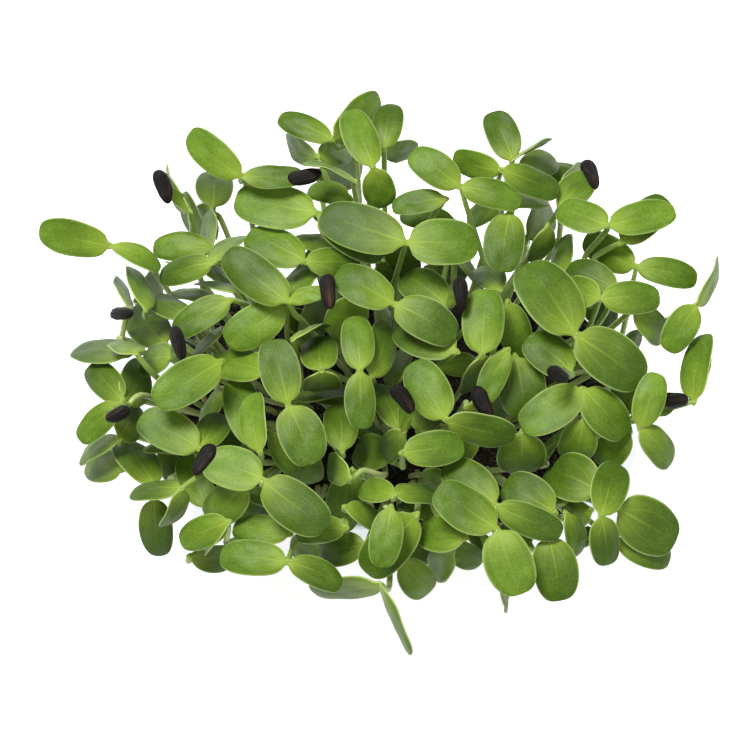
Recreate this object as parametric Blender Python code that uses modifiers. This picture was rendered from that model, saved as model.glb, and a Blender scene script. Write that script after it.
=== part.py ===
"""A clear plastic tray of sunflower microgreens, seen in the photo from high in front.

The tray and its growing mix are built to size. Each seedling is read from the photo as the pixel
where its two seed leaves join, with each leaf's tip and width. A seedling is placed under the
camera's ray at its level in the canopy, lowered until its leaves pass clear of those above, and
its stem then finds a clear way down to a planting hole. Lengths are in millimetres, and the meshes
are in metres.
"""

import math
import random

import bmesh
import bpy
import numpy as np
from mathutils import Matrix, Vector
from mathutils.bvhtree import BVHTree

MM = 0.001
OBJECT_NAME = "microgreens_tray"
UP = Vector((0, 0, 1))

# The tray: outer size at the rim, corner radius, height, wall, draft and the turned-out rim.
TRAY_LENGTH = 184
TRAY_WIDTH = 106
TRAY_CORNER = 44
TRAY_HEIGHT = 40
TRAY_WALL = 0.8
TRAY_DRAFT = 7
RIM_REACH = 4.5
RIM_LIP = 2.2
FLOOR_ROUND = 3
FOOT_SHARE = 0.3
RIM_ROUND = 1
CORNER_STEPS = 5

# The growing mix: its top, how far its surface lies below that and waves, and the gap to the tray.
SOIL_TOP = 29
SOIL_DIP = 1
SOIL_BUMP = 0.65
WIDE_WAVE = (9, 11)
NARROW_WAVE = (4.3, 5.1)
NARROW_SHARE = 0.6
FIT_GAP = 0.4
SIDE_GAP = 0.55
SOIL_SHOULDER = 2
SOIL_RINGS = (0.4, 0.8)
HOLE_RADIUS = 4.1
HOLE_DEPTH = 10
HOLE_SIDES = 6
HOLE_MARGIN = 2

# The camera of the photo, by which a pixel gives a place: 750 pixels square, tilted in degrees from
# straight down, its middle ray this long down to the rim's plane.
PHOTO_MIDDLE = 375
CAMERA_TILT = 15
CAMERA_DISTANCE = 660
MM_PER_PIXEL_AT_RIM = 0.3775
TRAY_MIDDLE_PIXEL = (394, 397)

# The canopy: height of a joint at each level, 4 the top and 1 the deepest.
LEVEL_HEIGHT = {4: 103, 3: 98, 2: 92, 1: 84}
LEAF_CEILING = 110
LEAF_FLOOR = 46
LOWEST_JOINT = 52

# Seed leaves: usual length, width against length, and thickness at the midrib.
SHORTEST_LEAF = 20
LONGEST_LEAF = 33
CLASPED_LEAF = 14
SHORTEST_CLASPED = 10.5
CLASPED_ARCH = 0.4
LEAF_PROPORTION = 0.54
LONGEST_PARTNER = 27
HALF_BLADE = 0.65
PETIOLE_HALF_WIDTH = 1.0
PETIOLE_SHARE = 0.04
OVAL_POWER = 0.42
ROOT_SINK = 1.3
BLADE_STATIONS = (0.16, 0.5, 0.84)
DEEP_STATIONS = (0.26, 0.72)
DEEP_LEVEL = 2
SPACE_STATIONS = (0.12, 0.3, 0.5, 0.7, 0.88, 0.97)
CLEARANCE = 0.4

# A leaf seen at least this share of its usual width lies flat; a narrower one is rolled on edge.
FLAT_SHARE = 0.85
ROLLED_SHARE = 0.92
STEEPEST_ROLL = 0.15
STEEPEST_FALL = 0.85

# Stems and the collar where the stems of one planting hole meet.
STEM_RADIUS = 1.3
STUB_LENGTH = 6
JOINT_OVERLAP = 0.6
COLLAR_RADIUS = 2.9
COLLAR_FOOT_RADIUS = 2.03
COLLAR_HEIGHT = 4
COLLAR_SIDES = 6
FOOT_OFFSET = 1.8
SUNK_OFFSET_SHARE = 0.7
FOOT_RISE = 1
STEMS_A_HOLE = 4
HOLE_SPACING = 11
ROOT_SHRINK = (0.76, 0.54)

# Seed hulls: half length, half width and half thickness.
HULL_HALF = (6.2, 2.7, 2.2)
HULL_TAPER = 0.28
HULL_FULLNESS = 1.06
HULL_OVERHANG = 0.6
HULL_SLOT_GAP = 0.32

# Each seedling as read from the photo: level, joint, then tip and width of each leaf seen.
SEEDLINGS = {
    # top left
    "s01": (3, (111, 246), (39, 231, 32), (160, 270, 24)),
    "s02": (3, (190, 212), (164, 188, 13), (167, 168, 8)),
    "s03": (2, (209, 247), (183, 193, 28)),
    "s04": (3, (213, 263), (160, 278, 31), (243, 236, 25)),
    "s05": (3, (212, 249), (153, 248, 31), (205, 215, 20)),
    "s06": (3, (213, 208), (216, 172, 38), (210, 229, 37)),
    "s07": (4, (242, 177), (189, 133, 31), (303, 176, 26)),
    "s10": (4, (406, 243), (321, 215, 50), (478, 243, 51)),
    "s09": (4, (317, 213), (235, 199, 50), (385, 255, 46)),
    "s11": (3, (305, 262), (247, 235, 42), (360, 262, 34)),
    "s12": (4, (289, 302), (226, 252, 42), (327, 292, 18)),
    "s60": (3, (285, 306), (226, 342, 42), (317, 262, 30)),
    # top
    "s13": (3, (332, 140), (279, 117, 28), (380, 98, 24)),
    "s14": (4, (373, 168), (350, 110, 36), (385, 207, 33)),
    "s15": (2, (384, 149), (392, 104, 32), (415, 152, 9)),
    "s16": (4, (460, 187), (411, 153, 35), (521, 203, 32)),
    "s17": (3, (446, 199), (392, 208, 27)),
    "s18": (4, (501, 170), (453, 158, 22), (559, 192, 33)),
    "s19": (3, (512, 161), (492, 112, 34), (548, 142, 9)),
    "s20": (2, (519, 172), (556, 160, 30)),
    "s21": (2, (560, 205), (589, 176, 34)),
    "s139": (4, (356, 183), (303, 163, 14)),
    "s140": (2, (318, 157), (287, 142, 12), (350, 150, 26)),
    # top right
    "s22": (4, (608, 226), (559, 207, 38), (675, 210, 36)),
    "s23": (3, (621, 243), (667, 199, 36)),
    "s24": (3, (636, 267), (584, 239, 28), (697, 280, 30)),
    "s25": (3, (696, 305), (718, 260, 12), (667, 351, 33)),
    "s26": (4, (600, 299), (660, 298, 35), (560, 290, 36)),
    "s27": (4, (575, 335), (525, 265, 60), (642, 382, 56)),
    "s28": (2, (617, 290), (567, 268, 34)),
    "s29": (1, (563, 275), (563, 237, 20)),
    "s30": (4, (510, 212), (502, 272, 42)),
    "s31": (2, (548, 226), (534, 262, 20)),
    "s32": (1, (455, 222), (400, 215, 26)),
    "s33": (1, (500, 205), (467, 222, 26)),
    # left
    "s34": (2, (146, 310), (133, 268, 20)),
    "s34b": (1, (128, 307), (123, 282, 10), (123, 313, 14)),
    "s35": (4, (166, 345), (133, 307, 40)),
    "s36": (3, (128, 356), (76, 348, 36)),
    "s37": (4, (136, 354), (116, 342, 26)),
    "s38": (3, (123, 401), (89, 366, 32), (145, 366, 28)),
    "s40": (3, (120, 404), (79, 440, 30), (117, 414, 14)),
    "s41": (3, (119, 440), (136, 402, 26), (80, 460, 24)),
    "s42": (2, (123, 470), (87, 462, 36)),
    "s43": (3, (153, 486), (121, 441, 35)),
    "s44": (4, (181, 489), (131, 493, 25), (165, 526, 12)),
    "s45": (3, (154, 498), (160, 556, 34)),
    "s46": (3, (229, 522), (180, 542, 33), (205, 550, 20)),
    "s47": (3, (246, 484), (207, 518, 40)),
    "s48": (4, (263, 480), (205, 460, 46), (326, 528, 48)),
    "s49": (2, (207, 508), (186, 455, 34)),
    "s50": (3, (200, 449), (140, 417, 42), (224, 415, 32)),
    "s51": (2, (196, 452), (146, 447, 20)),
    "s53": (4, (222, 361), (155, 403, 44)),
    "s55": (2, (172, 357), (141, 362, 36), (178, 344, 16)),
    "s56": (3, (231, 300), (174, 333, 32)),
    "s57": (2, (224, 330), (195, 350, 22)),
    "s58": (2, (190, 318), (149, 296, 28)),
    "s59": (2, (241, 293), (198, 283, 18)),
    "s61": (3, (268, 372), (213, 360, 37)),
    # centre
    "s62": (4, (288, 405), (272, 340, 41), (312, 464, 47)),
    "s64": (3, (256, 449), (236, 378, 38)),
    "s65": (4, (260, 452), (254, 393, 28)),
    "s66": (2, (270, 434), (300, 474, 30)),
    "s67": (1, (300, 440), (314, 483, 30)),
    "s68": (2, (342, 452), (338, 404, 35)),
    "s69": (2, (294, 401), (351, 392, 22)),
    "s70": (3, (322, 371), (320, 336, 38), (324, 390, 40)),
    "s71": (3, (293, 340), (325, 328, 12)),
    "s73": (4, (360, 371), (355, 316, 34), (362, 429, 32)),
    "s74": (3, (371, 378), (388, 323, 30)),
    "s75": (2, (380, 328), (384, 303, 16)),
    "s76": (2, (366, 300), (330, 336, 40)),
    "s77": (4, (394, 304), (337, 272, 42), (455, 338, 44)),
    "s105": (4, (457, 352), (396, 327, 42)),
    "s107": (2, (447, 306), (404, 275, 42), (460, 295, 16)),
    "s108": (4, (482, 356), (486, 289, 43), (468, 392, 20)),
    "s110": (2, (500, 290), (478, 268, 30)),
    "s112": (2, (508, 302), (521, 359, 33)),
    "s113": (3, (572, 374), (528, 337, 43), (559, 374, 14)),
    "s114": (3, (515, 356), (524, 416, 50)),
    "s115": (3, (508, 350), (484, 401, 28)),
    "s116": (3, (583, 389), (522, 428, 43), (625, 436, 44)),
    "s99": (4, (402, 453), (464, 445, 37)),
    "s101": (4, (446, 420), (413, 362, 43), (515, 436, 28)),
    "s102": (3, (522, 432), (520, 473, 50)),
    "s103": (1, (478, 435), (450, 462, 30)),
    "s78": (3, (398, 430), (378, 384, 28)),
    "s79": (3, (404, 432), (383, 456, 28), (403, 401, 14)),
    "s79b": (2, (418, 432), (437, 402, 34)),
    "s80": (2, (393, 458), (356, 447, 38)),
    "s82": (3, (350, 478), (328, 464, 22)),
    "s83": (3, (352, 470), (340, 531, 38)),
    "s84": (2, (346, 528), (296, 534, 28)),
    "s85": (4, (394, 495), (361, 487, 28), (437, 495, 26)),
    "s86": (4, (391, 507), (381, 567, 34)),
    "s104": (2, (450, 478), (424, 484, 22)),
    # right
    "s117": (4, (640, 428), (657, 373, 32), (671, 464, 34)),
    "s118": (3, (694, 402), (705, 334, 25), (706, 362, 8)),
    "s120": (3, (634, 309), (664, 338, 33)),
    "s123": (3, (584, 420), (570, 460, 38)),
    "s124": (2, (629, 430), (600, 466, 34)),
    "s125": (2, (545, 462), (559, 431, 14)),
    "s126": (3, (599, 491), (551, 470, 50)),
    "s127": (4, (601, 516), (618, 464, 38), (608, 565, 33)),
    "s128": (3, (617, 508), (676, 541, 56)),
    "s129": (2, (616, 541), (670, 560, 32)),
    "s130": (3, (555, 512), (505, 482, 44)),
    "s131": (2, (564, 503), (548, 470, 24)),
    "s132": (2, (591, 510), (564, 516, 24)),
    "s133": (1, (594, 541), (576, 541, 30)),
    "s134": (2, (566, 513), (577, 556, 24)),
    "s143": (2, (660, 414), (675, 400, 14)),
    # bottom
    "s88": (3, (417, 514), (366, 573, 46)),
    "s89": (2, (366, 545), (319, 553, 35)),
    "s91": (4, (288, 562), (220, 556, 37), (341, 586, 30)),
    "s92": (2, (290, 534), (233, 528, 31)),
    "s93": (3, (380, 584), (313, 592, 17), (411, 655, 5)),
    "s94": (2, (402, 560), (429, 593, 36)),
    "s95": (2, (453, 551), (431, 573, 34)),
    "s96": (3, (466, 538), (418, 530, 38)),
    "s97": (4, (497, 529), (437, 488, 46), (522, 594, 50)),
    "s98": (4, (496, 506), (446, 464, 42), (562, 533, 33)),
    "s135": (3, (548, 536), (560, 601, 46)),
    "s136": (1, (530, 545), (502, 525, 30)),
    "s137": (2, (500, 585), (505, 604, 22)),
}

# Each hull: the seedling and leaf that it clasps, then the two ends of its length in pixels.
HULLS = {
    "hull_01": ("s02", 0, (156, 172), (172, 205)),
    "hull_02": ("s21", 0, (586, 160), (595, 191)),
    "hull_03": ("s34b", 1, (118, 303), (128, 323)),
    "hull_04": ("s55", 1, (184, 328), (172, 359)),
    "hull_05": ("s40", 1, (120, 400), (114, 429)),
    "hull_06": ("s48", 0, (219, 444), (204, 470)),
    "hull_07": ("s12", 1, (326, 276), (328, 309)),
    "hull_08": ("s107", 1, (470, 272), (450, 320)),
    "hull_09": ("s79", 1, (397, 389), (409, 412)),
    "hull_10": ("s115", 0, (475, 384), (493, 419)),
    "hull_11": ("s113", 1, (542, 382), (577, 366)),
    "hull_12": ("s143", 0, (665, 405), (684, 395)),
    "hull_13": ("s07", 1, (290, 182), (326, 174)),
}
CLASPED = {(plant, side) for plant, side, start, end in HULLS.values()}


# The photo's view

TILT = math.radians(CAMERA_TILT)
VIEW_UP = Vector((0, math.cos(TILT), math.sin(TILT)))
VIEW_AHEAD = Vector((0, math.sin(TILT), -math.cos(TILT)))


def met_by_ray(place, pixel, height):
    """Where the ray of a pixel, from a camera at this place, meets the plane at this height."""
    right = (pixel[0] - PHOTO_MIDDLE) * MM_PER_PIXEL_AT_RIM
    up = (PHOTO_MIDDLE - pixel[1]) * MM_PER_PIXEL_AT_RIM
    ray = VIEW_AHEAD * CAMERA_DISTANCE + VIEW_UP * up + Vector((right, 0, 0))
    return place + ray * ((height - place.z) / ray.z)


def camera_place():
    """Where the camera stands so that the tray's middle, at the rim, shows at its pixel."""
    place = Vector((0, 0, TRAY_HEIGHT)) - VIEW_AHEAD * CAMERA_DISTANCE
    shift = met_by_ray(place, TRAY_MIDDLE_PIXEL, TRAY_HEIGHT)
    return place - Vector((shift.x, shift.y, 0))


CAMERA_PLACE = camera_place()


def under_pixel(pixel, height):
    """The point at this height that shows at this pixel."""
    return met_by_ray(CAMERA_PLACE, pixel, height)


def pixel_scale(point):
    """Millimetres across one photo pixel, at this point's distance from the camera."""
    depth = (point - CAMERA_PLACE).dot(VIEW_AHEAD)
    return MM_PER_PIXEL_AT_RIM * depth / CAMERA_DISTANCE


def shown_at(point):
    """The pixel that a point shows at."""
    scale = pixel_scale(point)
    offset = point - CAMERA_PLACE
    return PHOTO_MIDDLE + offset.x / scale, PHOTO_MIDDLE - offset.dot(VIEW_UP) / scale


# Seed leaves

def leaf_outline(t):
    """Half width of a seed leaf along its length, as a share of its widest: a full oval on a stalk."""
    share = (t - PETIOLE_SHARE) / (1 - PETIOLE_SHARE)
    return (4 * max(share, 0) * max(1 - share, 0)) ** OVAL_POWER


class Leaf:
    """One seed leaf: from its joint to its tip, rolled about its length, arched and cupped."""

    def __init__(self, joint, tip, width, roll, arch, cup):
        self.joint = joint
        self.tip = tip
        self.width = width
        self.arch = arch
        self.cup = cup
        self.stations = BLADE_STATIONS
        self.length = (tip - joint).length
        self.along = (tip - joint).normalized()
        level_side = UP.cross(self.along).normalized()
        self.side = Matrix.Rotation(roll, 3, self.along) @ level_side
        self.face = self.along.cross(self.side)

    def point(self, t, v, lift=0.0, grow=0.0):
        """The point t along and v across the leaf, from -1 to 1, lifted off its middle surface."""
        outline = leaf_outline(t)
        half = max(self.width / 2 * outline, PETIOLE_HALF_WIDTH * (1 - t)) + grow
        rise = 4 * self.arch * t * (1 - t) + self.cup * (v * outline) ** 2 + lift
        return self.joint + self.along * (self.length * t) + self.side * (v * half) + self.face * rise


def blade_mesh(leaf):
    """A leaf blade, thick at its midrib and thin at its rim: its points and faces."""
    points = []
    for t in leaf.stations:
        points += [leaf.point(t, -1), leaf.point(t, 0, HALF_BLADE)]
        points += [leaf.point(t, 1), leaf.point(t, 0, -HALF_BLADE)]
    points += [leaf.joint - leaf.along * ROOT_SINK, leaf.point(1, 0)]
    root = len(points) - 2
    faces = [((corner + 1) % 4, corner, root) for corner in range(4)]
    for row in range(len(leaf.stations) - 1):
        near = 4 * row
        far = near + 4
        for corner in range(4):
            after = (corner + 1) % 4
            faces.append((near + corner, near + after, far + after, far + corner))
    last = root - 4
    tip = root + 1
    faces += [(last + corner, last + (corner + 1) % 4, tip) for corner in range(4)]
    return points, faces


def swollen_blade(leaf, gap=CLEARANCE):
    """The space that a leaf keeps to itself: its blade with the clearance all round."""
    points = []
    rows = [*SPACE_STATIONS, 1 + gap / leaf.length]
    thick = HALF_BLADE + gap
    for t in rows:
        points += [leaf.point(t, v, -thick, gap) for v in (-1, 0, 1)]
        points += [leaf.point(t, v, thick, gap) for v in (1, 0, -1)]
    faces = [(0, 1, 2, 3, 4, 5)]
    for row in range(len(rows) - 1):
        near = 6 * row
        far = near + 6
        for corner in range(6):
            after = (corner + 1) % 6
            faces.append((near + corner, far + corner, far + after, near + after))
    last = 6 * (len(rows) - 1)
    faces.append(tuple(last + corner for corner in (5, 4, 3, 2, 1, 0)))
    return points, faces


def tube_mesh(path, radius, sides=5):
    """A plain tube round a path that runs mostly upright: its points and faces, for tests."""
    points = []
    for place in path:
        for step in range(sides):
            angle = 2 * math.pi * step / sides
            points.append(place + Vector((math.cos(angle), math.sin(angle), 0)) * radius)
    faces = []
    for row in range(len(path) - 1):
        near = sides * row
        for step in range(sides):
            after = (step + 1) % sides
            faces.append((near + step, near + after, near + sides + after, near + sides + step))
    return points, faces


class Clutter:
    """What is already in place, that each later leaf has to miss."""

    def __init__(self):
        self.points = []
        self.faces = []
        self.tree = None

    def add(self, mesh):
        points, faces = mesh
        start = len(self.points)
        self.points += points
        self.faces += [tuple(start + corner for corner in face) for face in faces]
        self.tree = BVHTree.FromPolygons(self.points, self.faces)

    def clear_of(self, mesh):
        points, faces = mesh
        return self.tree is None or not BVHTree.FromPolygons(points, faces).overlap(self.tree)


# Placing the seedlings

TIP_SHIFTS = (0, -2, 2, -4, 4, -6, 6, -9, 8, -12, -15, -18)
JOINT_STEP = 1.5
SLIMNESS = (1, 0.88, 0.76, 0.6)
PARTNER_TURNS = (0, 20, -20, 40, -40, 60, -60, 80, -80, 100, -100)
PARTNER_DROPS = (7, 11, 15, 4, 19, 23)
PARTNER_SIZES = (0.9, 0.72, 0.55)
HIDDEN_SHARE = 0.75
MASK_CELL = 5
MASK_ROWS = (0.15, 0.3, 0.45, 0.6, 0.75, 0.9)
MASK_COLUMNS = (-0.9, -0.45, 0, 0.45, 0.9)


class Habit:
    """How one leaf grows by its own nature: its arch, cup, roll and the fall of its tip."""

    def __init__(self, draw):
        self.arch = draw.uniform(0.5, 2.2)
        self.cup = draw.uniform(-1.3, 0.6)
        self.roll = math.radians(draw.uniform(-9, 9))
        self.fall = draw.uniform(-0.5, 3.5)
        self.edge = draw.choice((-1, 1))
        self.turn = draw.uniform(-10, 10)


class Seedling:
    """One seedling: what the photo shows of it, and once it is placed, its leaves and stem."""

    def __init__(self, name, level, joint_pixel, *seen):
        draw = random.Random(name)
        self.name = name
        self.level = level
        self.joint_pixel = joint_pixel
        self.seen = seen
        self.habits = [Habit(draw), Habit(draw)]
        self.joint = None
        self.leaves = []
        self.stem = []


def leaf_toward(joint, tip, width_seen, habit, clasped):
    """The leaf from a joint to a tip that looks this wide from above, or None if it is too long."""
    length = (tip - joint).length
    if length > LONGEST_LEAF or (clasped and length < SHORTEST_CLASPED):
        return None
    if clasped:
        return Leaf(joint, tip, width_seen, habit.roll, CLASPED_ARCH, 0)
    usual = LEAF_PROPORTION * max(length, SHORTEST_LEAF)
    if width_seen > FLAT_SHARE * usual:
        return Leaf(joint, tip, width_seen, habit.roll, habit.arch, habit.cup)
    width = ROLLED_SHARE * usual
    roll = habit.edge * math.acos(max(width_seen / width, STEEPEST_ROLL))
    return Leaf(joint, tip, width, roll, habit.arch, habit.cup)


def resting_height(joint, tip_pixel, habit, clasped):
    """Height of a leaf's tip, steep where the leaf looks shorter than it can be."""
    flat = (under_pixel(tip_pixel, joint.z) - joint).length
    shortest = CLASPED_LEAF if clasped else SHORTEST_LEAF
    if flat >= shortest:
        return joint.z - habit.fall
    slant = math.sqrt(shortest ** 2 - flat ** 2)
    return joint.z + slant if clasped else joint.z - slant


def hull_frame(leaf, ends):
    """Where a hull sits on its leaf's tip: a matrix with X along the hull, Z off the leaf's face."""
    height = leaf.tip.z
    reach = under_pixel(ends[1], height) - under_pixel(ends[0], height)
    face = leaf.face if leaf.face.z >= 0 else -leaf.face
    along = (reach - face * reach.dot(face)).normalized()
    across = face.cross(along)
    axes = Matrix((along, across, face)).transposed().to_4x4()
    return Matrix.Translation(leaf.tip + leaf.along * HULL_OVERHANG) @ axes


def hull_bmesh(leaf, ends, grow=0.0):
    """A husk: a flattened ball, blunt at one end and narrower at the other."""
    husk = bmesh.new()
    bmesh.ops.create_uvsphere(husk, u_segments=6, v_segments=4, radius=HULL_FULLNESS)
    for vertex in husk.verts:
        x, y, z = vertex.co.z, vertex.co.x, vertex.co.y
        narrow = 1 - HULL_TAPER * x
        vertex.co = Vector((
            x * (HULL_HALF[0] + grow),
            y * narrow * (HULL_HALF[1] + grow),
            z * narrow * (HULL_HALF[2] + grow),
        ))
    husk.transform(hull_frame(leaf, ends))
    return husk


def points_and_faces(shape):
    """The points and faces of a bmesh, which is then freed."""
    shape.verts.ensure_lookup_table()
    points = [vertex.co.copy() for vertex in shape.verts]
    faces = [tuple(vertex.index for vertex in face.verts) for face in shape.faces]
    shape.free()
    return points, faces


def joined(meshes):
    """Several point-and-face meshes as one."""
    points = []
    faces = []
    for more_points, more_faces in meshes:
        start = len(points)
        points += more_points
        faces += [tuple(start + corner for corner in face) for face in more_faces]
    return points, faces


def leaf_space(seedling, side, leaf):
    """The space that a leaf keeps clear, with its hull's if it holds one."""
    for plant, on, start, end in HULLS.values():
        if (plant, on) == (seedling.name, side):
            husk = points_and_faces(hull_bmesh(leaf, (start, end), CLEARANCE))
            return joined([swollen_blade(leaf), husk])
    return swollen_blade(leaf)


def clear_leaf(seedling, side, joint, clutter, slimness):
    """The seen leaf on one side, at the first fall of its tip that misses what is in place."""
    tip_x, tip_y, width = seedling.seen[side]
    clasped = (seedling.name, side) in CLASPED
    habit = seedling.habits[side]
    rest = resting_height(joint, (tip_x, tip_y), habit, clasped)
    for shift in TIP_SHIFTS:
        height = rest + shift
        if not LEAF_FLOOR <= height <= LEAF_CEILING:
            continue
        tip = under_pixel((tip_x, tip_y), height)
        leaf = leaf_toward(joint, tip, slimness * width * pixel_scale(tip), habit, clasped)
        if leaf and clutter.clear_of(leaf_space(seedling, side, leaf)):
            return leaf
    return None


def stub_space(joint):
    """The space of the top of a stem, which runs straight down from its joint."""
    return tube_mesh([joint + UP, joint - UP * STUB_LENGTH], STEM_RADIUS + CLEARANCE)


def place_seen(seedling, clutter, slimness):
    """Lowers a seedling from its level until each leaf that the photo shows passes clear."""
    height = LEVEL_HEIGHT[seedling.level]
    while height > LOWEST_JOINT:
        joint = under_pixel(seedling.joint_pixel, height)
        height -= JOINT_STEP
        if not clutter.clear_of(stub_space(joint)):
            continue
        leaves = [
            clear_leaf(seedling, side, joint, clutter, slimness) for side in range(len(seedling.seen))
        ]
        if all(leaves):
            seedling.joint = joint
            seedling.leaves = leaves
            for side, leaf in enumerate(leaves):
                clutter.add(leaf_space(seedling, side, leaf))
                if seedling.level <= DEEP_LEVEL:
                    leaf.stations = DEEP_STATIONS
            clutter.add(stub_space(joint))
            return True
    return False


def mask_cells(leaf):
    """The coarse photo cells that a leaf covers."""
    cells = set()
    for t in MASK_ROWS:
        for v in MASK_COLUMNS:
            px, py = shown_at(leaf.point(t, v))
            cells.add((int(px // MASK_CELL), int(py // MASK_CELL)))
    return cells


def place_partner(seedling, clutter, covered):
    """Adds the second leaf that the photo hides, opposite the first and under the others."""
    first = seedling.leaves[0]
    habit = seedling.habits[1]
    away = -first.along
    best = None
    best_share = HIDDEN_SHARE
    for size in PARTNER_SIZES:
        length = min(max(first.length, SHORTEST_LEAF), LONGEST_PARTNER) * size
        for turn in PARTNER_TURNS:
            swing = Matrix.Rotation(math.radians(turn + habit.turn), 3, "Z")
            heading = swing @ Vector((away.x, away.y, 0))
            for drop in PARTNER_DROPS:
                fall = min(drop, STEEPEST_FALL * length)
                flat = math.sqrt(length ** 2 - fall ** 2)
                tip = seedling.joint + heading.normalized() * flat - UP * fall
                if tip.z < LEAF_FLOOR:
                    continue
                leaf = Leaf(seedling.joint, tip, LEAF_PROPORTION * length, habit.roll, habit.arch, habit.cup)
                cells = mask_cells(leaf)
                share = len(cells & covered) / len(cells)
                if share > best_share and clutter.clear_of(swollen_blade(leaf)):
                    best = leaf
                    best_share = share
        if best:
            break
    if best:
        best.stations = DEEP_STATIONS
        seedling.leaves.append(best)
        clutter.add(swollen_blade(best))


def placed_seedlings():
    """Every seedling: those with hulls, then the topmost first, then each leaf that is hidden."""
    seedlings = [Seedling(name, *reading) for name, reading in SEEDLINGS.items()]
    hulled = {plant for plant, side in CLASPED}
    clutter = Clutter()
    for seedling in sorted(seedlings, key=lambda plant: (plant.name not in hulled, -plant.level)):
        any(place_seen(seedling, clutter, slimness) for slimness in SLIMNESS)
    seedlings = [seedling for seedling in seedlings if seedling.joint]
    covered = set()
    for seedling in seedlings:
        for leaf in seedling.leaves:
            covered |= mask_cells(leaf)
    for seedling in seedlings:
        if len(seedling.leaves) == 1:
            place_partner(seedling, clutter, covered)
    return seedlings


# Planting holes

PULL_STEP = 0.975
SPREADING_SWEEPS = 200


def rounded_distance(x, y, half_length, half_width, corner):
    """Signed distance outside a rounded rectangle."""
    dx = abs(x) - (half_length - corner)
    dy = abs(y) - (half_width - corner)
    outside = math.hypot(max(dx, 0), max(dy, 0))
    return outside + min(max(dx, dy), 0) - corner


def inner_half(height):
    """Half length, half width and corner of the tray's inside at this height."""
    inset = TRAY_WALL + RIM_REACH + (TRAY_HEIGHT - height) * math.tan(math.radians(TRAY_DRAFT))
    return TRAY_LENGTH / 2 - inset, TRAY_WIDTH / 2 - inset, TRAY_CORNER - inset


def pulled_inside(place, margin):
    """A place on the growing mix moved in until it is this far from the tray's wall."""
    half = inner_half(SOIL_TOP)
    x, y = place
    while rounded_distance(x, y, *half) > -margin:
        x *= PULL_STEP
        y *= PULL_STEP
    return x, y


def planting_groups(seedlings):
    """Seedlings in fours, from the outside in, each with its nearest neighbours."""
    waiting = sorted(seedlings, key=lambda plant: -plant.joint.xy.length)
    groups = []
    while waiting:
        first = waiting.pop(0)
        waiting.sort(key=lambda plant: (plant.joint.xy - first.joint.xy).length)
        groups.append([first, *waiting[:STEMS_A_HOLE - 1]])
        waiting = sorted(waiting[STEMS_A_HOLE - 1:], key=lambda plant: -plant.joint.xy.length)
    return groups


def hole_places(groups):
    """The middle of each group's hole, inside the tray and apart from each other."""
    margin = HOLE_RADIUS + HOLE_MARGIN
    places = []
    for group in groups:
        middle = sum((plant.joint.xy for plant in group), Vector((0, 0))) / len(group)
        drawn_in = (middle.x * ROOT_SHRINK[0], middle.y * ROOT_SHRINK[1])
        places.append(Vector(pulled_inside(drawn_in, margin)))
    for sweep in range(SPREADING_SWEEPS):
        for first in range(len(places)):
            for second in range(first):
                apart = places[first] - places[second]
                lack = HOLE_SPACING - apart.length
                if lack > 0:
                    push = apart.normalized() * lack / 2
                    places[first] = Vector(pulled_inside(places[first] + push, margin))
                    places[second] = Vector(pulled_inside(places[second] - push, margin))
    return places


# Stems

CELL = 1.5
GRID_LOW = np.array((-135.0, -120.0, SOIL_TOP + 3.0))
GRID_HIGH = np.array((125.0, 100.0, 112.0))
LEAF_KEEP = 2.8
STEM_KEEP = 3.3
FELLOW_KEEP = 2.2
TRAY_KEEP = 1
NEAR_JOINT = 7
SAMPLE_ROWS = 22
SAMPLE_COLUMNS = 11
SAMPLE_GAP = 0.8
TEST_GAP = 0.6
WAY_MARGIN = 16
SIDE_STEPS = [(x, y) for x in range(-2, 3) for y in range(-2, 3)]


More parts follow.
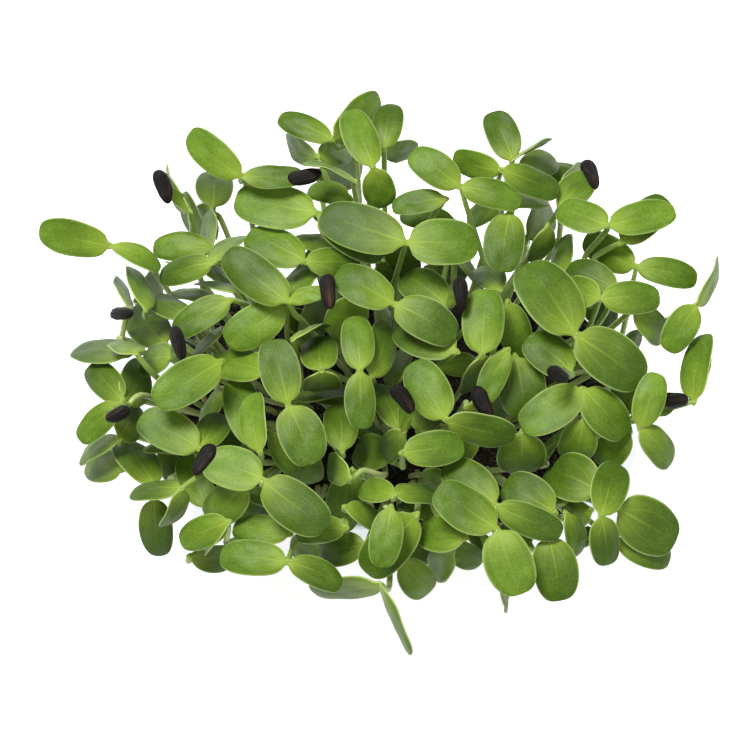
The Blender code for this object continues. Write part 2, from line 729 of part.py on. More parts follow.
class Thicket:
    """The space over the growing mix in small cells, each with how many things stand in it."""

    def __init__(self):
        size = np.ceil((GRID_HIGH - GRID_LOW) / CELL).astype(int)
        self.count = np.zeros(size, dtype=np.int16)
        self.block_tray()

    def block_tray(self):
        """Marks what is too near the tray's wall and rim."""
        size_x, size_y, size_z = self.count.shape
        x = GRID_LOW[0] + (np.arange(size_x) + 0.5) * CELL
        y = GRID_LOW[1] + (np.arange(size_y) + 0.5) * CELL
        for layer in range(size_z):
            height = GRID_LOW[2] + (layer + 0.5) * CELL
            if height > TRAY_HEIGHT + STEM_RADIUS + TRAY_KEEP:
                break
            half_length, half_width, corner = inner_half(min(height, TRAY_HEIGHT))
            dx = (np.abs(x) - (half_length - corner))[:, None]
            dy = (np.abs(y) - (half_width - corner))[None, :]
            outside = np.hypot(np.maximum(dx, 0), np.maximum(dy, 0)) + np.minimum(np.maximum(dx, dy), 0)
            self.count[:, :, layer] += outside - corner > -STEM_RADIUS - TRAY_KEEP

    def cells(self, points):
        return np.floor((np.asarray(points) - GRID_LOW) / CELL).astype(int)

    def stamp(self, points, keep, amount=1):
        """Adds an amount to each cell whose middle is within this distance of the points."""
        points = np.asarray(points, dtype=float)
        if not len(points):
            return
        reach = int(keep / CELL) + 1
        around = np.arange(-reach, reach + 1)
        offsets = np.array(np.meshgrid(around, around, around)).reshape(3, -1).T
        cells = (self.cells(points)[:, None, :] + offsets).reshape(-1, 3)
        middles = GRID_LOW + (cells + 0.5) * CELL
        gaps = np.linalg.norm(middles - np.repeat(points, len(offsets), axis=0), axis=1)
        cells = cells[gaps < keep]
        inside = np.all((cells >= 0) & (cells < self.count.shape), axis=1)
        cells = np.unique(cells[inside], axis=0)
        self.count[tuple(cells.T)] += amount

    def free(self, start, end):
        """Whether a straight run between two points stays in empty cells."""
        start = np.asarray(start)
        end = np.asarray(end)
        steps = max(2, int(np.linalg.norm(end - start) / TEST_GAP))
        cells = self.cells(start + np.linspace(0, 1, steps)[:, None] * (end - start))
        cells = cells[np.all((cells >= 0) & (cells < self.count.shape), axis=1)]
        return not self.count[tuple(cells.T)].any()

    def way_down(self, start, foot):
        """The cheapest way from a start down to a foot, layer by layer, or None if none is open."""
        top = self.cells(start)
        end = self.cells(foot)
        low = np.maximum(np.minimum(top, end)[:2] - WAY_MARGIN, 0)
        high = np.minimum(np.maximum(top, end)[:2] + WAY_MARGIN, self.count.shape[:2])
        count = self.count[low[0]:high[0], low[1]:high[1]]
        size_x, size_y = count.shape[:2]
        cost = np.full((size_x, size_y), np.inf)
        cost[top[0] - low[0], top[1] - low[1]] = 0
        choices = []
        for layer in range(top[2] - 1, -1, -1):
            padded = np.pad(cost, 2, constant_values=np.inf)
            options = np.array([
                padded[2 - x:2 - x + size_x, 2 - y:2 - y + size_y] + x * x + y * y for x, y in SIDE_STEPS
            ])
            choice = options.argmin(axis=0)
            cost = np.take_along_axis(options, choice[None], axis=0)[0]
            cost[count[:, :, layer] > 0] = np.inf
            choices.append(choice)
        x, y = end[:2] - low
        if not np.isfinite(cost[x, y]):
            return None
        way = []
        for layer, choice in enumerate(reversed(choices)):
            way.append(GRID_LOW + (np.array((x + low[0], y + low[1], layer)) + 0.5) * CELL)
            step_x, step_y = SIDE_STEPS[choice[x, y]]
            x -= step_x
            y -= step_y
        way.append(np.array(start))
        return way

    def pulled_tight(self, way):
        """The fewest points of a way that straight free runs can join."""
        tight = [way[0]]
        here = 0
        while here < len(way) - 1:
            there = len(way) - 1
            while there > here + 1 and not self.free(way[here], way[there]):
                there -= 1
            tight.append(way[there])
            here = there
        return tight


def leaf_samples(leaf, near=None):
    """Points spread over a leaf, or only those near its joint."""
    rows = np.linspace(0.02, 1, SAMPLE_ROWS)
    columns = np.linspace(-1, 1, SAMPLE_COLUMNS)
    points = [leaf.point(t, v) for t in rows for v in columns]
    if near:
        points = [point for point in points if (point - leaf.joint).length < near]
    return points


def run_samples(path):
    """Points along a path of straight runs."""
    points = []
    for start, end in zip(path, path[1:]):
        start = np.asarray(start, dtype=float)
        end = np.asarray(end, dtype=float)
        steps = max(2, int(np.linalg.norm(end - start) / SAMPLE_GAP))
        points += list(start + np.linspace(0, 1, steps)[:, None] * (end - start))
    return points


def own_samples(seedling):
    """What of a seedling its own stem may touch: its stub and the roots of its leaves."""
    stub = run_samples([seedling.joint, seedling.joint - UP * STUB_LENGTH])
    near = [leaf_samples(leaf, NEAR_JOINT) for leaf in seedling.leaves]
    return stub, near


def foot_offsets(group, hole):
    """Where each stem of a group leaves the hole: evenly round it, in the order of their leans."""
    def bearing(seedling):
        lean = seedling.joint.xy - hole
        return math.atan2(lean.y, lean.x)

    ordered = sorted(group, key=bearing)
    first = bearing(ordered[0])
    offsets = {}
    for place, seedling in enumerate(ordered):
        turn = first + 2 * math.pi * place / len(group)
        offsets[seedling.name] = Vector((math.cos(turn), math.sin(turn))) * FOOT_OFFSET
    return offsets


def route_stem(thicket, seedling, hole, offset):
    """Gives a seedling its stem, from the collar in its hole up to its joint."""
    stub, near = own_samples(seedling)
    thicket.stamp(stub, STEM_KEEP, -1)
    for points in near:
        thicket.stamp(points, LEAF_KEEP, -1)
    foot = hole + offset
    start = seedling.joint - UP * STUB_LENGTH
    way = thicket.way_down(start, (foot.x, foot.y, GRID_LOW[2] + CELL / 2))
    if way:
        way = [Vector(point) for point in thicket.pulled_tight(way)]
        if not thicket.free(way[-2], seedling.joint):
            way.append(seedling.joint)
        sunk = hole + offset * SUNK_OFFSET_SHARE
        seedling.stem = [
            Vector((sunk.x, sunk.y, SOIL_TOP - HOLE_DEPTH + COLLAR_HEIGHT / 2)),
            Vector((foot.x, foot.y, SOIL_TOP + FOOT_RISE)),
            *way[1:-1],
            seedling.joint + UP * JOINT_OVERLAP,
        ]
    thicket.stamp(stub, STEM_KEEP, 1)
    for points in near:
        thicket.stamp(points, LEAF_KEEP, 1)
    return bool(way)


def stamp_stems(thicket, group, keep, amount):
    """Marks the stems of a group, or with -1 takes their marks away."""
    for seedling in group:
        thicket.stamp(run_samples(seedling.stem), keep, amount)


def route_stems(groups, places):
    """Routes the stems of every group, each group clear of the leaves and of the others."""
    thicket = Thicket()
    for group in groups:
        for seedling in group:
            for leaf in seedling.leaves:
                thicket.stamp(leaf_samples(leaf), LEAF_KEEP)
            thicket.stamp(run_samples([seedling.joint, seedling.joint - UP * STUB_LENGTH]), STEM_KEEP)
    for group, hole in reversed(list(zip(groups, places))):
        offsets = foot_offsets(group, hole)
        grown = []
        for seedling in group:
            if not route_stem(thicket, seedling, hole, offsets[seedling.name]):
                stamp_stems(thicket, grown, FELLOW_KEEP, -1)
                route_stem(thicket, seedling, hole, offsets[seedling.name])
                stamp_stems(thicket, grown, FELLOW_KEEP, 1)
            grown.append(seedling)
            stamp_stems(thicket, [seedling], FELLOW_KEEP, 1)
        stamp_stems(thicket, group, FELLOW_KEEP, -1)
        stamp_stems(thicket, group, STEM_KEEP, 1)


# Solids

SOIL_COLOUR = (0.018, 0.012, 0.008)
TRAY_COLOUR = (0.78, 0.8, 0.8)
LEAF_COLOUR = (0.17, 0.33, 0.07)
HULL_COLOUR = (0.02, 0.017, 0.015)
SOIL_ROUGHNESS = 0.95
TRAY_ROUGHNESS = 0.15
TRAY_ALPHA = 0.35
LEAF_ROUGHNESS = 0.5
HULL_ROUGHNESS = 0.7
SMOOTH_ANGLE = math.radians(50)
WELD_DISTANCE = 0.01


def new_collection(name):
    """A collection of this name in the scene."""
    collection = bpy.data.collections.new(name)
    bpy.context.scene.collection.children.link(collection)
    return collection


def paint(obj, colour, roughness, alpha=1.0):
    """Gives an object a material of its own."""
    material = bpy.data.materials.new(obj.name)
    material.use_nodes = True
    shader = material.node_tree.nodes["Principled BSDF"]
    shader.inputs["Base Color"].default_value = (*colour, 1)
    shader.inputs["Roughness"].default_value = roughness
    shader.inputs["Metallic"].default_value = 0
    shader.inputs["Alpha"].default_value = alpha
    obj.data.materials.clear()
    obj.data.materials.append(material)


def mesh_object(name, shape, collection):
    """An object from a bmesh in millimetres, its faces turned outward."""
    bmesh.ops.recalc_face_normals(shape, faces=shape.faces)
    bmesh.ops.scale(shape, vec=(MM, MM, MM), verts=shape.verts)
    mesh = bpy.data.meshes.new(name)
    shape.to_mesh(mesh)
    shape.free()
    mesh.shade_smooth()
    mesh.set_sharp_from_angle(angle=SMOOTH_ANGLE)
    obj = bpy.data.objects.new(name, mesh)
    collection.objects.link(obj)
    return obj


def bmesh_of(points, faces):
    """A bmesh from points and faces."""
    shape = bmesh.new()
    corners = [shape.verts.new(point) for point in points]
    for face in faces:
        shape.faces.new([corners[corner] for corner in face])
    return shape


def applied(obj, name, collection):
    """The object as its modifiers or its bevel leave it, as a plain mesh; the first is removed."""
    evaluated = obj.evaluated_get(bpy.context.evaluated_depsgraph_get())
    mesh = bpy.data.meshes.new_from_object(evaluated)
    result = bpy.data.objects.new(name, mesh)
    result.matrix_world = obj.matrix_world.copy()
    collection.objects.link(result)
    bpy.data.objects.remove(obj)
    return result


def stem_section(collection):
    """The three-cornered section that every stem is drawn with."""
    curve = bpy.data.curves.new("stem_section", "CURVE")
    spline = curve.splines.new("POLY")
    spline.points.add(2)
    spline.use_cyclic_u = True
    for corner, point in enumerate(spline.points):
        angle = 2 * math.pi * corner / 3
        point.co = (math.cos(angle) * STEM_RADIUS * MM, math.sin(angle) * STEM_RADIUS * MM, 0, 1)
    section = bpy.data.objects.new("stem_section", curve)
    section.hide_render = True
    section.display_type = "WIRE"
    collection.objects.link(section)
    return section


def stem_object(seedling, section, collection):
    """A seedling's stem: a slim tube from the collar in the hole up to the joint."""
    curve = bpy.data.curves.new("stem", "CURVE")
    curve.dimensions = "3D"
    curve.bevel_mode = "OBJECT"
    curve.bevel_object = section
    curve.use_fill_caps = True
    spline = curve.splines.new("POLY")
    spline.points.add(len(seedling.stem) - 1)
    for point, place in zip(spline.points, seedling.stem):
        point.co = (*(place * MM), 1)
    stem = bpy.data.objects.new("stem", curve)
    collection.objects.link(stem)
    stem = applied(stem, seedling.name + "_stem", collection)
    weld = bmesh.new()
    weld.from_mesh(stem.data)
    bmesh.ops.remove_doubles(weld, verts=weld.verts, dist=WELD_DISTANCE * MM)
    bmesh.ops.holes_fill(weld, edges=weld.edges, sides=3)
    bmesh.ops.recalc_face_normals(weld, faces=weld.faces)
    weld.to_mesh(stem.data)
    weld.free()
    return stem


def fused(base, joining, name, collection):
    """One body from a base and everything in a collection, which is emptied and removed."""
    union = base.modifiers.new("join", "BOOLEAN")
    union.operation = "UNION"
    union.operand_type = "COLLECTION"
    union.collection = joining
    union.solver = "MANIFOLD"
    result = applied(base, name, collection)
    for obj in list(joining.objects):
        bpy.data.objects.remove(obj)
    bpy.data.collections.remove(joining)
    return result


def keep_one_body(mesh):
    """Fills hollows that the join sealed and drops loose scraps: only the largest body stays."""
    shape = bmesh.new()
    shape.from_mesh(mesh)
    waiting = set(shape.faces)
    bodies = []
    while waiting:
        body = set()
        front = [waiting.pop()]
        while front:
            face = front.pop()
            body.add(face)
            for edge in face.edges:
                for neighbour in edge.link_faces:
                    if neighbour in waiting:
                        waiting.remove(neighbour)
                        front.append(neighbour)
        bodies.append(body)
    largest = max(bodies, key=len)
    spare = [face for body in bodies if body is not largest for face in body]
    bmesh.ops.delete(shape, geom=spare, context="FACES")
    shape.to_mesh(mesh)
    shape.free()


def clump_object(name, group, hole, section, collection):
    """The seedlings of one planting hole, fused at the collar that their stems rise from."""
    joining = new_collection(name + "_pieces")
    for seedling in group:
        stem_object(seedling, section, joining)
        for side, leaf in enumerate(seedling.leaves):
            mesh_object(f"{seedling.name}_leaf_{side}", bmesh_of(*blade_mesh(leaf)), joining)
    collar = bmesh.new()
    bmesh.ops.create_cone(
        collar, cap_ends=True, segments=COLLAR_SIDES, radius1=COLLAR_FOOT_RADIUS,
        radius2=COLLAR_RADIUS, depth=COLLAR_HEIGHT,
    )
    middle = SOIL_TOP - HOLE_DEPTH + COLLAR_HEIGHT / 2 + FIT_GAP
    bmesh.ops.translate(collar, vec=(hole.x, hole.y, middle), verts=collar.verts)
    base = mesh_object("collar", collar, collection)
    clump = fused(base, joining, name, collection)
    keep_one_body(clump.data)
    clump.data.shade_smooth()
    clump.data.set_sharp_from_angle(angle=SMOOTH_ANGLE)
    paint(clump, LEAF_COLOUR, LEAF_ROUGHNESS)
    return clump


def hull_object(name, leaf, ends, collection, cutters):
    """A husk that clasps its leaf's tip: the tip's own space is cut out of it."""
    hull = mesh_object(name, hull_bmesh(leaf, ends), collection)
    cutter = mesh_object(name + "_slot", bmesh_of(*swollen_blade(leaf, HULL_SLOT_GAP)), cutters)
    cut(hull, cutter)
    paint(hull, HULL_COLOUR, HULL_ROUGHNESS)
    return hull


def cut(obj, cutter):
    """Cuts a mesh, or every mesh of a collection, out of an object."""
    boolean = obj.modifiers.new("cut", "BOOLEAN")
    boolean.operation = "DIFFERENCE"
    if isinstance(cutter, bpy.types.Collection):
        boolean.operand_type = "COLLECTION"
        boolean.collection = cutter
        meshes = cutter.objects
    else:
        boolean.object = cutter
        meshes = [cutter]
    for mesh in meshes:
        mesh.hide_render = True
        mesh.display_type = "WIRE"


def rounded_ring(half_length, half_width, corner):
    """Points round a rectangle with round corners, anticlockwise."""
    points = []
    for quarter, (x, y) in enumerate(((1, 1), (-1, 1), (-1, -1), (1, -1))):
        for step in range(CORNER_STEPS + 1):
            angle = math.radians(90) * (quarter + step / CORNER_STEPS)
            points.append(Vector((
                x * (half_length - corner) + corner * math.cos(angle),
                y * (half_width - corner) + corner * math.sin(angle),
            )))
    return points


def ring_loft(rings):
    """A surface through rings of points, closed by a flat face inside the first."""
    shape = bmesh.new()
    loops = [[shape.verts.new(point) for point in ring] for ring in rings]
    shape.faces.new(loops[0])
    for lower, upper in zip(loops, loops[1:]):
        for step in range(len(lower)):
            after = (step + 1) % len(lower)
            shape.faces.new((lower[step], lower[after], upper[after], upper[step]))
    return shape


def tray_ring(inset, height):
    """A ring of the tray's outer face, this far in from its rim."""
    points = rounded_ring(TRAY_LENGTH / 2 - inset, TRAY_WIDTH / 2 - inset, TRAY_CORNER - inset)
    return [Vector((point.x, point.y, height)) for point in points]


def tray_object(collection):
    """The tub: a flat floor with a round foot, drafted walls and a rim turned out and down."""
    def wall_inset(height):
        return RIM_REACH + (TRAY_HEIGHT - height) * math.tan(math.radians(TRAY_DRAFT))

    sheet_top = TRAY_HEIGHT - TRAY_WALL
    rings = [
        tray_ring(wall_inset(0) + FLOOR_ROUND, 0),
        tray_ring(wall_inset(0) + FLOOR_ROUND * FOOT_SHARE, FLOOR_ROUND * FOOT_SHARE),
        tray_ring(wall_inset(FLOOR_ROUND), FLOOR_ROUND),
        tray_ring(wall_inset(sheet_top - RIM_ROUND), sheet_top - RIM_ROUND),
        tray_ring(RIM_REACH - RIM_ROUND, sheet_top),
        tray_ring(TRAY_WALL + RIM_ROUND, sheet_top),
        tray_ring(TRAY_WALL, sheet_top + TRAY_WALL - RIM_LIP),
    ]
    tray = mesh_object("tray", ring_loft(rings), collection)
    solid = tray.modifiers.new("wall", "SOLIDIFY")
    solid.thickness = TRAY_WALL * MM
    solid.offset = 1
    solid.use_even_offset = True
    paint(tray, TRAY_COLOUR, TRAY_ROUGHNESS, TRAY_ALPHA)
    return tray


def soil_height(x, y):
    """Height of the growing mix's uneven surface."""
    wide = math.sin(x / WIDE_WAVE[0] + 1) * math.cos(y / WIDE_WAVE[1])
    narrow = math.sin(x / NARROW_WAVE[0] - y / NARROW_WAVE[1])
    return SOIL_TOP - SOIL_DIP + SOIL_BUMP * (wide + NARROW_SHARE * narrow)


def soil_object(places, collection, cutters):
    """The growing mix: it fills the tray, uneven on top, with a plain hole for each clump."""
    half_floor = inner_half(FLOOR_ROUND)
    floor = TRAY_WALL + FIT_GAP
    shape = bmesh.new()
    rings = []
    bottom = rounded_ring(*(half - FLOOR_ROUND for half in half_floor))
    rings.append([(point.x, point.y, floor) for point in bottom])
    low = rounded_ring(*(half - SIDE_GAP for half in half_floor))
    rings.append([(point.x, point.y, FLOOR_ROUND + TRAY_WALL + FIT_GAP) for point in low])
    top = rounded_ring(*(half - SIDE_GAP for half in inner_half(SOIL_TOP - SOIL_SHOULDER)))
    for share in (1, *reversed(SOIL_RINGS)):
        rings.append([
            (point.x * share, point.y * share, soil_height(point.x * share, point.y * share))
            for point in top
        ])
    loops = [[shape.verts.new(point) for point in ring] for ring in rings]
    shape.faces.new(reversed(loops[0]))
    for lower, upper in zip(loops, loops[1:]):
        for step in range(len(lower)):
            after = (step + 1) % len(lower)
            shape.faces.new((lower[step], lower[after], upper[after], upper[step]))
    middle = shape.verts.new((0, 0, soil_height(0, 0)))
    for step in range(len(loops[-1])):
        shape.faces.new((loops[-1][step], loops[-1][(step + 1) % len(loops[-1])], middle))
    bmesh.ops.triangulate(shape, faces=[face for face in shape.faces if len(face.verts) == 4])
    soil = mesh_object("growing_mix", shape, collection)
    holes = bpy.data.collections.new("planting_holes")
    cutters.children.link(holes)
    for number, place in enumerate(places):
        drill = bmesh.new()
        bmesh.ops.create_cone(
            drill, cap_ends=True, segments=HOLE_SIDES, radius1=HOLE_RADIUS, radius2=HOLE_RADIUS,
            depth=2 * HOLE_DEPTH,
        )
        bmesh.ops.translate(drill, vec=(place.x, place.y, SOIL_TOP), verts=drill.verts)
        mesh_object(f"hole_{number + 1:02d}", drill, holes)
    cut(soil, holes)
    paint(soil, SOIL_COLOUR, SOIL_ROUGHNESS)
    return soil


def clear_scene():
    """Removes what the scene starts with."""
    for obj in list(bpy.data.objects):
        bpy.data.objects.remove(obj)


def build():
    """Builds the tray of microgreens."""
    clear_scene()
    pieces = new_collection(OBJECT_NAME)
    cutters = new_collection("cutters")
    seedlings = placed_seedlings()
    groups = planting_groups(seedlings)
    places = hole_places(groups)
    route_stems(groups, places)
    section = stem_section(cutters)
    for number, (group, hole) in enumerate(zip(groups, places)):
        clump_object(f"seedlings_{number + 1:02d}", group, hole, section, pieces)
    by_name = {seedling.name: seedling for seedling in seedlings}
    for name, (plant, side, start, end) in HULLS.items():
        hull_object(name, by_name[plant].leaves[side], (start, end), pieces, cutters)
    tray_object(pieces)
    soil_object(places, pieces, cutters)


if __name__ == "__main__":
    build()
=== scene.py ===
"""The looks of a clear plastic tray of sunflower microgreens.

The seedlings are placed by the same reading of the photo and the same rule as in the solids, so
each finer piece stands where its node is. Lengths are in millimetres until a mesh is made.
"""

import math
import random

import bmesh
import bpy
import numpy as np
from mathutils import Matrix, Vector, noise
from mathutils.bvhtree import BVHTree


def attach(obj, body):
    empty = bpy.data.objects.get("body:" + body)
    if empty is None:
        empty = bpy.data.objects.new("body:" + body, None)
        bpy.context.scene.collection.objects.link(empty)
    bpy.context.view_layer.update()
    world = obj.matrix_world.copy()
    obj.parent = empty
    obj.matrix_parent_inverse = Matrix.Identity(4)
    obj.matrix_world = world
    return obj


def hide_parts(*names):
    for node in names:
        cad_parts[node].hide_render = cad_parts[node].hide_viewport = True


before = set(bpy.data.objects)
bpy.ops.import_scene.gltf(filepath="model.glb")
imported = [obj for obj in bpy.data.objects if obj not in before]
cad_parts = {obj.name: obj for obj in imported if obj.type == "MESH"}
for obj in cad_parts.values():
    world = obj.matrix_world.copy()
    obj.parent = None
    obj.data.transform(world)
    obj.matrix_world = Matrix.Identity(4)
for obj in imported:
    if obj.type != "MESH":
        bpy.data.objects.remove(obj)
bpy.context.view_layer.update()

MM = 0.001
UP = Vector((0, 0, 1))

# The tray: outer size at the rim, corner radius, height, wall, draft and the turned-out rim.
TRAY_LENGTH = 184
TRAY_WIDTH = 106
TRAY_CORNER = 44
TRAY_HEIGHT = 40
TRAY_WALL = 0.8
TRAY_DRAFT = 7
RIM_REACH = 4.5
FLOOR_ROUND = 3

# The growing mix: its top, how far its surface lies below that and waves, and the gap to the tray.
SOIL_TOP = 29
SOIL_DIP = 1
SOIL_BUMP = 0.65
WIDE_WAVE = (9, 11)
NARROW_WAVE = (4.3, 5.1)
NARROW_SHARE = 0.6
FIT_GAP = 0.4
HOLE_RADIUS = 4.1
HOLE_DEPTH = 10
HOLE_MARGIN = 2

# The camera of the photo, by which a pixel gives a place: 750 pixels square, tilted in degrees from
# straight down, its middle ray this long down to the rim's plane.
PHOTO_MIDDLE = 375
CAMERA_TILT = 15
CAMERA_DISTANCE = 660
MM_PER_PIXEL_AT_RIM = 0.3775
TRAY_MIDDLE_PIXEL = (394, 397)

# The canopy: height of a joint at each level, 4 the top and 1 the deepest.
LEVEL_HEIGHT = {4: 103, 3: 98, 2: 92, 1: 84}
LEAF_CEILING = 110
LEAF_FLOOR = 46
LOWEST_JOINT = 52

# Seed leaves: usual length, width against length, and thickness at the midrib.
SHORTEST_LEAF = 20
LONGEST_LEAF = 33
CLASPED_LEAF = 14
SHORTEST_CLASPED = 10.5
CLASPED_ARCH = 0.4
LEAF_PROPORTION = 0.54
LONGEST_PARTNER = 27
HALF_BLADE = 0.65
PETIOLE_HALF_WIDTH = 1.0
PETIOLE_SHARE = 0.04
OVAL_POWER = 0.42
ROOT_SINK = 1.3
SPACE_STATIONS = (0.12, 0.3, 0.5, 0.7, 0.88, 0.97)
CLEARANCE = 0.4

# A leaf seen at least this share of its usual width lies flat; a narrower one is rolled on edge.
FLAT_SHARE = 0.85
ROLLED_SHARE = 0.92
STEEPEST_ROLL = 0.15
STEEPEST_FALL = 0.85

# Stems and the collar where the stems of one planting hole meet.
STEM_RADIUS = 1.3
STUB_LENGTH = 6
JOINT_OVERLAP = 0.6
COLLAR_HEIGHT = 4
FOOT_OFFSET = 1.8
SUNK_OFFSET_SHARE = 0.7
FOOT_RISE = 1
STEMS_A_HOLE = 4
HOLE_SPACING = 11
ROOT_SHRINK = (0.76, 0.54)

# Seed hulls: half length, half width and half thickness.
HULL_HALF = (6.2, 2.7, 2.2)
HULL_TAPER = 0.28
HULL_FULLNESS = 1.06
HULL_OVERHANG = 0.6

